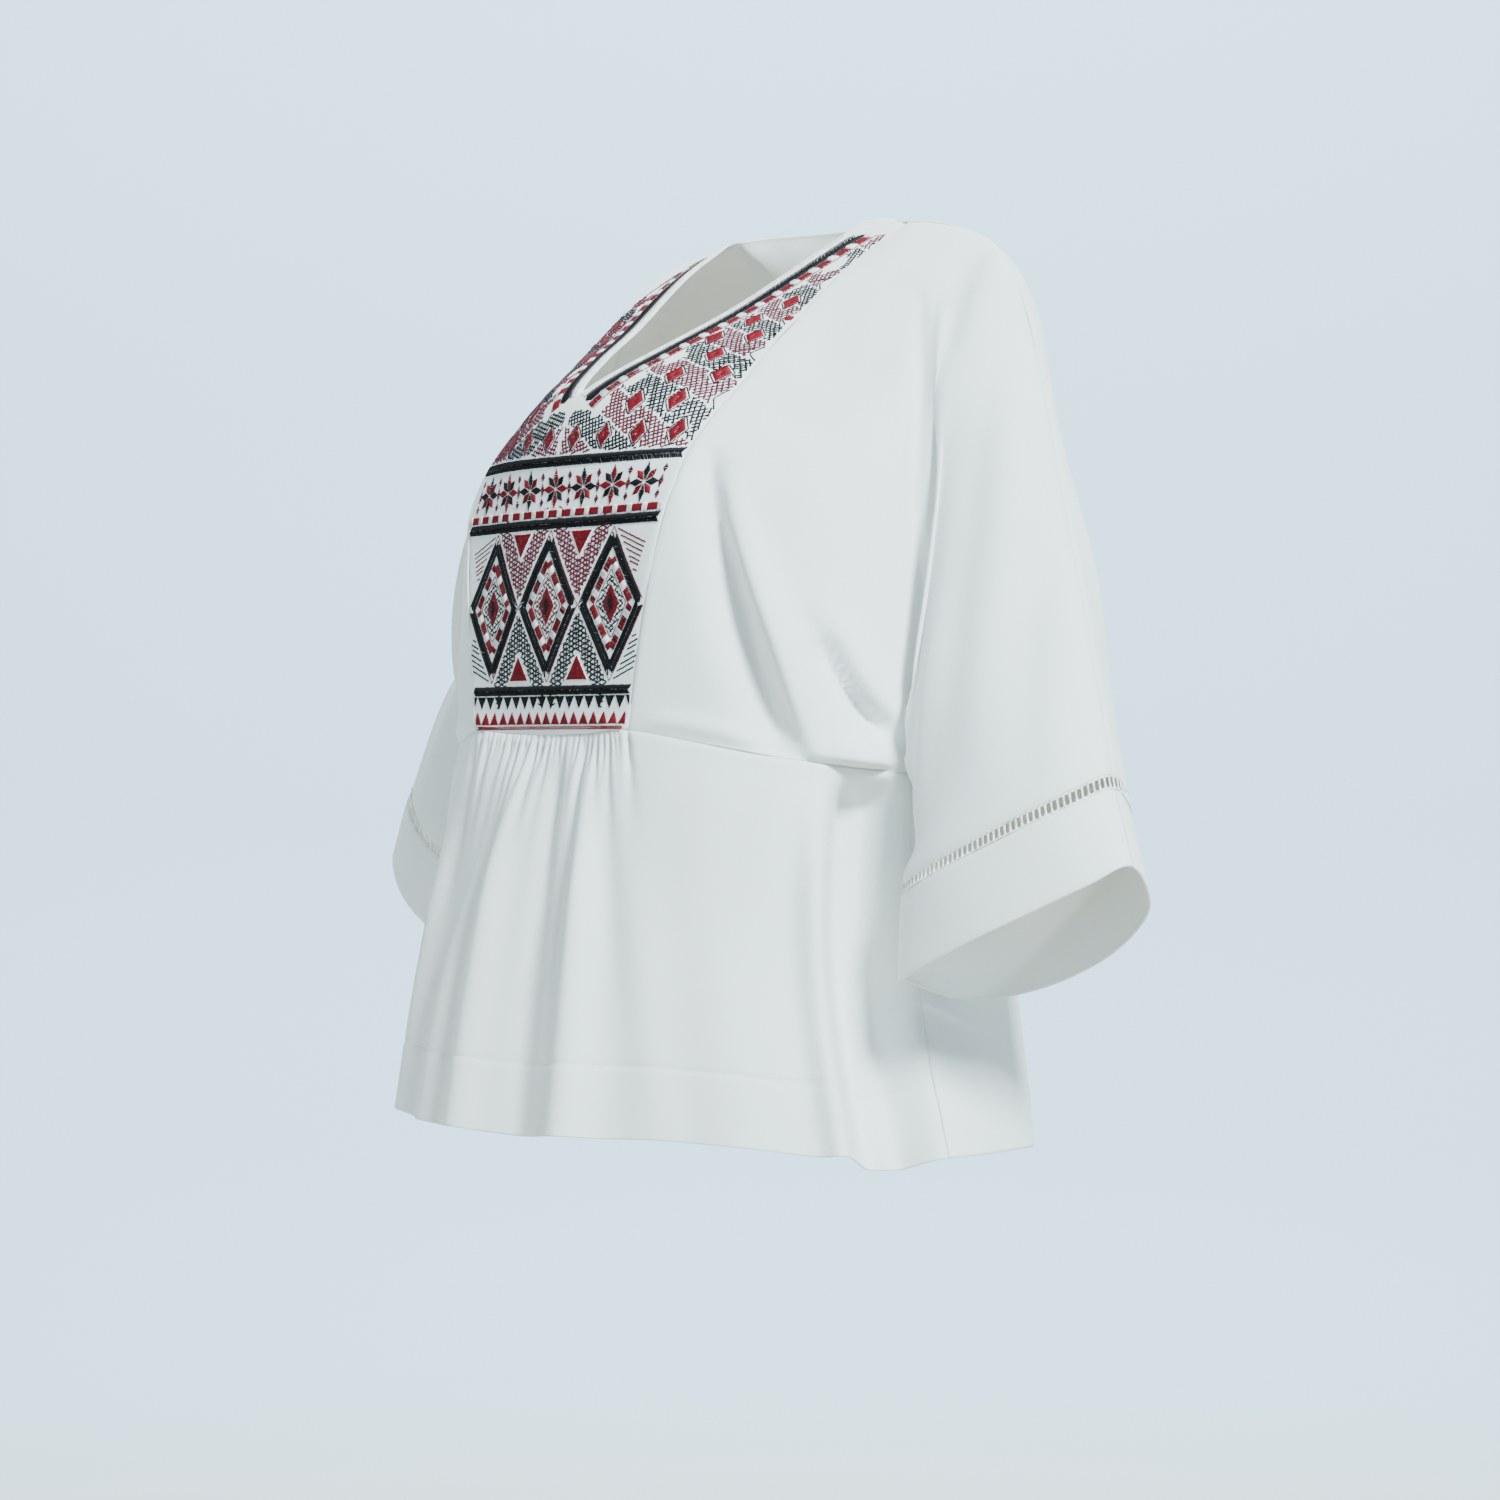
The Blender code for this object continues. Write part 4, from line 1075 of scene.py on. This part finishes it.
def panel_heights():
    """Distance up the middle of the front panel from the waist seam, and the height there."""
    height = np.linspace(-0.315, 0.004, 400)
    middle = bib_side(height)[2]
    run = np.concatenate([[0.0], np.cumsum(np.hypot(np.diff(height), np.diff(middle)))])
    return run, height


RUN, RUN_HEIGHT = panel_heights()
MARGIN = 0.0016                 # cloth left bare beside the panel's seams
STOP = 0.382                    # the embroidery's upper end below the shoulder seam


def on_panel(flat, lift=0.0):
    """Points and normals of the front panel at flat places: x, and distance up from the waist seam."""
    rows = close_to(0.0, 1.0, 96, 0.006)
    weights = fade_in(len(rows), SEAM_SHARE, True)

    def point(x, up):
        height = np.interp(up, RUN, RUN_HEIGHT)
        share = x / bib_side(height)[0]
        apart = np.abs(share)
        seam = waist_seam(apart * SKIRT_PANEL_COLUMN)
        top = neck_height(apart)
        shift = (seam - bib_point(apart, seam[:, 2])) * np.stack([np.sign(x), 1 + 0 * x, 1 + 0 * x], axis=1)
        weight = np.interp((height - top) / (seam[:, 2] - top), rows, weights)
        return bib_point(share, height) + shift * weight[:, None]

    x, up = flat[:, 0], flat[:, 1]
    small = 0.0006
    here = point(x, up)
    normal = np.cross(point(x + small, up) - here, point(x, up + small) - here)
    normal /= np.linalg.norm(normal, axis=1, keepdims=True)
    relief = panel_relief(here[:, 0], here[:, 2]) + sizes().cloth_wall / 2 + lift
    return here + normal * relief[:, None], normal


def half_width(up):
    """The panel's half width at a distance up from the waist seam."""
    return bib_side(np.interp(up, RUN, RUN_HEIGHT))[0]


def neck_line():
    """The V's edge on the left, as flat places from its point to the shoulder."""
    edge = np.array(NECK_EDGE)[:7]
    share = np.linspace(0.0, SHOULDER_SHARE, 60)
    height = through(edge[:, 0], edge[:, 1], share)
    x = share * bib_side(height)[0]
    return np.stack([x, np.interp(height, RUN_HEIGHT, RUN)], axis=1)


def beside(line, distance):
    """A line moved sideways by a distance, to its right as it runs."""
    along = np.gradient(line, axis=0)
    along /= np.linalg.norm(along, axis=1, keepdims=True)
    return line + distance * np.stack([along[:, 1], -along[:, 0]], axis=1)


def walk(line, step):
    """Even places along a line, about a step apart."""
    run = run_of(line)
    return at_run(np.linspace(0, run[-1], max(2, int(round(run[-1] / step)) + 1)), run, line)


class Needle:
    """Collects flat stitches for each thread, on one or both sides of the middle."""

    def __init__(self):
        self.stitches = {"white": [], "crimson": [], "maroon": [], "black": []}
        self.dice = np.random.default_rng(42)

    def sew(self, thread, starts, ends, width=1.0, height=1.0, both=False):
        """Straight stitches from starts to ends, as far as the panel's seams."""
        starts, ends = np.reshape(starts, (-1, 2)), np.reshape(ends, (-1, 2))
        for side in (1, -1) if both else (1,):
            turn = np.array((side, 1.0))
            shake = self.dice.normal(scale=0.00009, size=(2, len(starts), 2))
            a, b = starts * turn + shake[0], ends * turn + shake[1]
            kept = np.maximum(a[:, 1], b[:, 1]) < STOP
            for end in (a, b):
                kept &= np.abs(end[:, 0]) < half_width(end[:, 1]) - MARGIN
            if kept.any():
                self.stitches[thread].append((a[kept], b[kept], width, height))

    def chain(self, thread, line, wide=0.0019, step=0.0020, both=False):
        """A chain line: pairs of stitches that slant in to the line."""
        line = walk(line, step)
        left, right = beside(line, -wide / 2), beside(line, wide / 2)
        self.sew(thread, left[:-1], line[1:], 1.2, 1.2, both)
        self.sew(thread, right[:-1], line[1:], 1.2, 1.2, both)

    def running(self, thread, line, step=0.0030, fill=0.86, width=0.8, both=False):
        """A line of single stitches."""
        line = walk(line, step)
        self.sew(thread, line[:-1], line[:-1] + (line[1:] - line[:-1]) * fill, width, 0.8, both)

    def braid(self, thread, line, wide, step=0.00105, both=False):
        """A thick braid: two rows of slanting stitches that meet along the line, like an ear of wheat."""
        line = walk(line, step)
        lead = max(1, int(round(wide * 0.42 / step)))
        for way in (-1, 1):
            edge = beside(line, way * wide / 2)
            self.sew(thread, line[:-lead], edge[lead:], 1.5, 1.5, both)

    def blocks(self, line, wide, both=False):
        """A band of satin stitches across the line: crimson blocks, and raised white ones half as long."""
        line = walk(line, sizes().satin_step)
        left, right = beside(line, -wide / 2), beside(line, wide / 2)
        at = np.arange(len(line)) * sizes().satin_step
        turn = at % 0.0132
        red = turn < 0.0082
        self.sew("crimson", left[red], right[red], 1.15, 1.1, both)
        pale = (turn > 0.0088) & (turn < 0.0126)
        swell = 0.12 * np.sin((turn[pale, None] - 0.0088) / 0.0038 * math.pi)
        across = right[pale] - left[pale]
        self.sew("white", left[pale] - across * swell, right[pale] + across * swell, 1.25, 1.9, both)

    def fill(self, thread, corners, angle, step=None, longest=0.0075, width=1.1, height=1.0, both=False):
        """Parallel stitches across a shape with no hollow side."""
        corners = np.array(corners, dtype=float)
        step = step or sizes().satin_step
        way = np.array((math.cos(angle), math.sin(angle)))
        cross = np.array((-way[1], way[0]))
        reach = corners @ cross
        following = np.roll(corners, -1, axis=0)
        starts, ends = [], []
        for offset in np.arange(reach.min() + step / 2, reach.max(), step):
            a, b = corners @ cross - offset, following @ cross - offset
            cut = (a > 0) != (b > 0)
            share = a[cut] / (a[cut] - b[cut])
            met = corners[cut] + (following[cut] - corners[cut]) * share[:, None]
            if len(met) < 2:
                continue
            met = met[np.argsort(met @ way)]
            pieces = max(1, math.ceil(np.linalg.norm(met[-1] - met[0]) / longest))
            points = met[0] + (met[-1] - met[0]) * np.linspace(0, 1, pieces + 1)[:, None]
            starts += list(points[:-1])
            ends += list(points[1:])
        self.sew(thread, starts, ends, width, height, both)

    def lattice(self, thread, inside, box, angles, step=0.0030, width=1.75, both=False):
        """Crossed parallel lines in short stitches, kept where a place is inside a region."""
        corners = np.array([(x, y) for x in box[0] for y in box[1]])
        for angle in angles:
            way = np.array((math.cos(angle), math.sin(angle)))
            cross = np.array((-way[1], way[0]))
            run = np.arange((corners @ way).min(), (corners @ way).max(), 0.0021)
            across = np.arange((corners @ cross).min(), (corners @ cross).max(), step)
            across = across + self.dice.normal(scale=0.00022, size=len(across))
            points = run[None, :, None] * way + across[:, None, None] * cross
            kept = inside(points[..., 0], points[..., 1])
            kept = kept[:, :-1] & kept[:, 1:]
            self.sew(thread, points[:, :-1][kept], points[:, 1:][kept], width, 0.8, both)


def lozenge(centre, wide, tall):
    """Corners of a lozenge: right, top, left and bottom."""
    x, y = centre
    return np.array([(x + wide, y), (x, y + tall), (x - wide, y), (x, y - tall)])


def closed(corners):
    """A shape's outline as a line that comes back to its start."""
    return np.concatenate([corners, corners[:1]])


def share_of(x, up, centre, wide, tall):
    """How far out a place lies from a lozenge's middle: 1 on its edge."""
    return np.abs(x - centre[0]) / wide + np.abs(up - centre[1]) / tall


def sew_lozenge(needle, centre, wide, tall, both=False):
    """Nested lozenges: black braid, crimson and white blocks, maroon lattice, and a solid heart."""
    needle.running("maroon", closed(lozenge(centre, wide, tall)), 0.0026, 0.96, 1.2, both)
    needle.braid("black", closed(lozenge(centre, wide * 0.864, tall * 0.864)), 0.0066, both=both)
    for corner in range(4):
        line = closed(lozenge(centre, wide * 0.605, tall * 0.605))[corner:corner + 2]
        needle.blocks(line + (line[::-1] - line) * 0.05, 0.0052, both=both)
    needle.running("black", closed(lozenge(centre, wide * 0.455, tall * 0.455)), 0.0026, 0.96, 1.2, both)
    box = ((centre[0] - wide, centre[0] + wide), (centre[1] - tall, centre[1] + tall))
    needle.lattice("black" if both else "maroon", lambda x, up: share_of(x, up, centre, wide, tall) < 0.44,
                   box, (0.55, math.pi - 0.55), 0.0027, both=both)
    needle.fill("crimson", lozenge(centre, wide * 0.25, tall * 0.25), 0.0, width=1.3, height=1.8, both=both)
    needle.running("white", closed(lozenge(centre, wide * 0.28, tall * 0.28)), 0.0020, 0.96, 1.5, both)
    needle.fill("black", lozenge(centre, wide * 0.11, tall * 0.11), 0.0, width=1.2, height=3.0, both=both)


def sew_star(needle, centre, radius, thread, other, both=False):
    """An eight-point star of kite-shaped petals in two threads, the second ones a little shorter."""
    for k in range(8):
        turn = k * math.pi / 4
        colour, reach = (thread, 1.0) if k % 2 == 0 else (other, 0.86)
        out, swing = np.array(((0.08, 0.0), (0.58, 0.36), (reach, 0.0), (0.58, -0.36))).T
        rays = np.stack([np.cos(turn + swing), np.sin(turn + swing)], axis=1)
        petal = centre + radius * out[:, None] * rays
        needle.fill(colour, petal, turn + math.pi / 2, width=1.2, height=1.4, both=both)


def sew_teeth(needle, thread, line, pitch, tall, both=False):
    """A row of satin triangles that stand on a line, to its left."""
    places = walk(line, pitch)
    for a, b in zip(places[:-1], places[1:]):
        along = b - a
        tip = (a + b) / 2 + tall * np.array((-along[1], along[0])) / np.linalg.norm(along)
        angle = math.atan2(along[1], along[0]) + math.pi / 2
        needle.fill(thread, [a + along * 0.03, b - along * 0.03, tip], angle, both=both)


def level(up):
    """A level line right across the panel."""
    return np.array([(-0.110, up), (0.110, up)])


def sew_bands(needle):
    """Level bands on the lower panel: teeth, braids, nested lozenges and stars."""
    needle.chain("crimson", level(0.0042))
    sew_teeth(needle, "crimson", level(0.0062), 0.0094, 0.0080)
    sew_teeth(needle, "black", level(0.0232)[::-1] + (0.0047, 0.0), 0.0094, 0.0080)
    needle.braid("black", level(0.0266), 0.0056)
    middle, wide, tall, apart = 0.0770, 0.0300, 0.0455, 0.0608
    sew_lozenge(needle, (0.0, middle), wide, tall)
    sew_lozenge(needle, (apart, middle), wide, tall, both=True)
    inner = ((0.0, apart), (middle - tall, middle + tall))

    def between(upper):
        """A test for the gaps between the lozenges, above or below their middles."""
        def inside(x, up):
            outside = np.minimum(share_of(x, up, (0.0, middle), wide, tall),
                                 share_of(x, up, (apart, middle), wide, tall))
            away = np.abs(x - apart / 2) / wide + (1 - np.abs(up - middle) / tall)
            here = up > middle if upper else up < middle
            return here & (outside > 1.07) & (away >= 0.42) & (x > 0)
        return inside

    for thread, upper in (("maroon", True), ("black", False)):
        needle.lattice(thread, between(upper), inner, (0.35, math.pi - 0.35, math.pi / 2), 0.0029, both=True)
    for way in (-1, 1):
        base = middle + way * (tall - 0.0010)
        corners = [(apart / 2 - 0.0100, base), (apart / 2 + 0.0100, base), (apart / 2, base - way * 0.0150)]
        needle.fill("crimson", corners, math.pi / 2, width=1.25, height=1.5, both=True)
        needle.running("white", closed(np.array(corners)), 0.0020, 0.96, 1.4, both=True)
    needle.braid("black", level(0.1264), 0.0062)
    needle.blocks(level(0.1326), 0.0046)
    star_row = 0.1475
    for k in range(4):
        threads = ("crimson", "black") if k % 2 == 0 else ("black", "crimson")
        sew_star(needle, (0.0268 * k, star_row), 0.0122, *threads, both=k > 0)
    for x in (0.0134, 0.0402, 0.0670, 0.0938):
        for up, tall in ((0.1397, 0.0028), (star_row, 0.0044), (0.1553, 0.0028)):
            needle.fill("maroon", lozenge((x, up), 0.0021, tall), 0.0, both=True)
    needle.braid("black", level(0.1642), 0.0062)


def sew_neck(needle):
    """Bands along the V and up both shoulder strips, with a lattice out to the seams."""
    neck = neck_line()

    def band(distance, lowest=0.0):
        line = beside(neck, distance)
        return line[(line[:, 0] > 0.0003) & (line[:, 1] > lowest)]

    needle.running("white", band(0.0012), 0.0018, 0.8, 1.4, both=True)
    needle.braid("white", band(0.0044), 0.0056, 0.0010, both=True)
    needle.running("maroon", band(0.0080), 0.0026, 0.96, 1.3, both=True)
    needle.braid("black", band(0.0130), 0.0084, both=True)
    needle.blocks(band(0.0208), 0.0062, both=True)
    needle.running("maroon", band(0.0248), 0.0026, 0.96, 1.4, both=True)
    outer = band(0.0248)
    wide, tall = 0.0254, 0.0210

    def band_edge(up):
        """The last band's distance from the middle."""
        return np.interp(up, outer[:, 1], outer[:, 0], left=0.0)

    def ground(part):
        """A test for every other slanting patch of the ground round the small lozenges."""
        def inside(x, up):
            patch = np.floor((up + 0.6 * x) / tall).astype(int) % 2
            across = (x + wide / 2 * (np.floor(up / tall) % 2)) % wide
            cell = share_of(across, up % tall, (wide / 2, tall / 2), 0.0074, 0.0102)
            return (x > band_edge(up) + 0.0016) & (up > 0.1682) & (patch == part) & (cell > 1)
        return inside

    for part, thread in enumerate(("maroon", "black")):
        needle.lattice(thread, ground(part), ((0.0, 0.105), (0.166, 0.392)), (0.25, 1.95), 0.0025, 2.0,
                       both=True)
    for row in range(8, 19):
        for k in range(5):
            x, up = wide * k + (wide / 2 if row % 2 == 0 else 0.0), tall * row + tall / 2
            if x > band_edge(up) + 0.006 or x == 0.0 and up < 0.185:
                small, edge = lozenge((x, up), 0.0054, 0.0078), closed(lozenge((x, up), 0.0066, 0.0093))
                needle.fill("crimson", small, 0.0, width=1.25, height=1.5, both=x > 0)
                needle.running("black", edge, 0.0022, 0.96, 1.7, both=x > 0)


class TOP_OT_embroidery(bpy.types.Operator):
    """Geometric embroidery of raised stitches on the front panel"""
    bl_idname = "top.embroidery"
    bl_label = "Embroidery"

    def execute(self, context):
        needle = Needle()
        sew_bands(needle)
        sew_neck(needle)
        thread = sizes().thread
        for name, parts in needle.stitches.items():
            groups = []
            for starts, ends, width, height in parts:
                a, normal = on_panel(starts, 0.00004)
                b, _ = on_panel(ends, 0.00004)
                groups.append((a, b, normal, thread * width, thread * 0.62 * height))
            material = thread_material(name + "_thread", tuple(getattr(colours(), name)),
                                       0.7 if name == "white" else 0.55)
            thread_piece("embroidery_" + name, groups, material)
        return {"FINISHED"}


def sewing_line(line, normals, length):
    """Machine stitches along a line in space: starts, ends and normals."""
    run = run_of(line)
    at = (np.arange(int(run[-1] / length)) + 0.1) * length
    return at_run(at, run, line), at_run(at + length * 0.78, run, line), at_run(at, run, normals)


def nearest_line(grid, normal, distance, side, wall):
    """The line of a grid at a distance from its bottom or right edge, lifted to the cloth's outer face."""
    axis = 0 if side == "bottom" else 1
    k = int(np.abs(away_from(grid, side).mean(axis=1 - axis) - distance).argmin())
    line, out = np.take(grid, k, axis=axis), np.take(normal, k, axis=axis)
    return line + out * (wall / 2 - 0.00005), out


class TOP_OT_sewing(bpy.types.Operator):
    """Machine stitches round the hem, the back of the neck and the cuffs"""
    bl_idname = "top.sewing"
    bl_label = "Sewing"

    def execute(self, context):
        material = thread_material("sewing_thread", (0.72, 0.74, 0.72), roughness=0.6)
        skirt = skirt_grid()
        upper, lower, _ = back_grids()
        neck = upper[::-1, np.abs(upper[0, :, 0]) < 0.066]
        cuff = cuff_grid()
        wall, cuff_wall = sizes().cloth_wall, sizes().cuff_wall
        lines = (
            # piece, solid, cloth and its normals, distance from which edge, wall
            ("hem_stitches_front", "skirt_front", (skirt, outward(skirt, FORWARD)),
             HEM_DEPTH, "bottom", wall),
            ("hem_stitches_back", "back", (lower, outward(lower, REARWARD)), HEM_DEPTH, "bottom", wall),
            ("neck_stitches_back", "back", (neck, outward(neck, REARWARD)), 0.006, "bottom", wall),
            ("cuff_stitches_left", "cuff_left", cuff, 0.052, "right", cuff_wall),
            ("cuff_stitches_right", "cuff_right", cuff, 0.052, "right", cuff_wall),
        )
        for name, slot, cloth, distance, side, thick in lines:
            line, out = nearest_line(*cloth, distance, side, thick)
            stitches = sewing_line(line[2:-2], out[2:-2], sizes().sewing_stitch)
            if name.endswith("right"):
                stitches = [each * MIRROR for each in stitches]
            thread_piece(name, [(*stitches, 0.00042, 0.00022)], material)
        return {"FINISHED"}


class TOP_OT_stage(bpy.types.Operator):
    """Pale floor that curves up into a backdrop, soft lights and the camera"""
    bl_idname = "top.stage"
    bl_label = "Stage"

    def execute(self, context):
        settings = context.scene.top_stage
        floor = settings.floor_height
        profile = np.array([(0.0, 0.0), (1.5, 0.0), (3.0, 0.0), (3.9, 0.06), (4.6, 0.35), (5.1, 0.95),
                            (5.3, 1.8), (5.3, 3.2), (5.3, 4.6)])
        angles = np.linspace(0, 2 * math.pi, 65)
        radius, up = profile[:, 0][:, None], profile[:, 1][:, None] + floor
        grid = np.stack([radius * np.cos(angles), radius * np.sin(angles), up + 0 * angles], axis=-1)
        backdrop = new_mesh("backdrop", grid.reshape(-1, 3), quads(index_grid(grid.shape))[:, ::-1])
        material, tree, shader = start_material("pale_backdrop", Roughness=0.95, Specular_IOR_Level=0.1)
        place = node_of(tree, "ShaderNodeTexCoord").outputs["Object"]
        mapping = node_of(tree, "ShaderNodeMapping", [("Vector", place)], Scale=(0.25, 0.25, 0.25),
                          Location=(0.0, 0.0, -0.25 * floor))
        fade = node_of(tree, "ShaderNodeTexGradient", [("Vector", mapping.outputs["Vector"])],
                       gradient_type="SPHERICAL")
        ramp = two_tone(tree, fade.outputs["Fac"], 0.02, 0.45, (settings.wall_colour, settings.floor_colour))
        tree.links.new(ramp, shader.inputs["Base Color"])
        backdrop.data.materials.append(material)
        world = bpy.data.worlds.new("studio")
        world.use_nodes = True
        background = world.node_tree.nodes["Background"]
        background.inputs["Color"].default_value = (1.0, 0.93, 0.78, 1)
        background.inputs["Strength"].default_value = 0.085
        context.scene.world = world
        middle, behind = (0.0, -0.07, -0.30), (-4.2, 3.3, -0.6)
        lights = (
            # name       place               looks at  size  share  colour
            ("key", (3.2, -0.7, 2.2), middle, 0.7, 1.00, (0.83, 0.97, 1.0)),
            ("left", (-1.4, -3.2, 0.2), middle, 2.4, 0.06, (1.0, 0.86, 0.62)),
            ("rear", (-2.6, 2.4, 1.8), middle, 0.8, 0.24, (1.0, 0.97, 0.92)),
            ("backdrop", (-1.4, 1.3, 2.9), behind, 2.2, 1.10, (0.88, 0.97, 1.0)),
        )
        for name, place, target, size, share, colour in lights:
            data = bpy.data.lights.new(name, "AREA")
            data.energy = settings.key * share
            data.size = size
            data.color = colour
            lamp = added(name, data)
            lamp.location = place
            aim(lamp, target)
        camera = bpy.data.cameras.new("camera")
        camera.lens = settings.lens
        camera.sensor_width = 36.0
        holder = added("camera", camera)
        turn = settings.azimuth
        across = np.array((math.cos(turn), math.sin(turn), 0.0))
        ahead = np.array((-math.sin(turn), math.cos(turn), 0.0))
        holder.location = -0.035 * across - settings.distance * ahead + np.array((0, 0, -0.324))
        holder.rotation_euler = (math.pi / 2, 0.0, turn)
        context.scene.camera = holder
        return {"FINISHED"}


def aim(thing, target):
    """Turn a light so that it looks at a place: tilt from its drop, turn from its bearing."""
    x, y, z = np.array(target) - np.array(thing.location)
    thing.rotation_euler = (math.atan2(math.hypot(x, y), -z), 0.0, math.atan2(y, x) - math.pi / 2)


class TOP_PT_panel(bpy.types.Panel):
    """Lists the pieces of the top"""
    bl_idname = "TOP_PT_panel"
    bl_label = "Embroidered Top"
    bl_space_type = "VIEW_3D"
    bl_region_type = "UI"
    bl_category = "Top"

    def draw(self, context):
        for group in (context.scene.top_sizes, context.scene.top_colours, context.scene.top_stage):
            for name in group.__annotations__:
                self.layout.prop(group, name)
        for operator in OPERATORS:
            self.layout.operator(operator.bl_idname)


OPERATORS = (TOP_OT_back, TOP_OT_panel, TOP_OT_fronts, TOP_OT_skirt, TOP_OT_inserts, TOP_OT_cuffs,
             TOP_OT_embroidery, TOP_OT_sewing, TOP_OT_stage)
GROUPS = (TopSizes, TopColours, StageSettings)


def register():
    """Add the classes and their settings."""
    for each in (*GROUPS, *OPERATORS, TOP_PT_panel):
        bpy.utils.register_class(each)
    bpy.types.Scene.top_sizes = bpy.props.PointerProperty(type=TopSizes)
    bpy.types.Scene.top_colours = bpy.props.PointerProperty(type=TopColours)
    bpy.types.Scene.top_stage = bpy.props.PointerProperty(type=StageSettings)


def unregister():
    """Take the settings and classes away."""
    del bpy.types.Scene.top_sizes, bpy.types.Scene.top_colours, bpy.types.Scene.top_stage
    for each in (TOP_PT_panel, *OPERATORS[::-1], *GROUPS[::-1]):
        bpy.utils.unregister_class(each)


def main():
    """Make every piece in order."""
    register()
    for operator in (bpy.ops.top.back, bpy.ops.top.panel, bpy.ops.top.fronts, bpy.ops.top.skirt,
                     bpy.ops.top.inserts, bpy.ops.top.cuffs, bpy.ops.top.embroidery, bpy.ops.top.sewing,
                     bpy.ops.top.stage):
        operator()


if __name__ == "__main__":
    main()
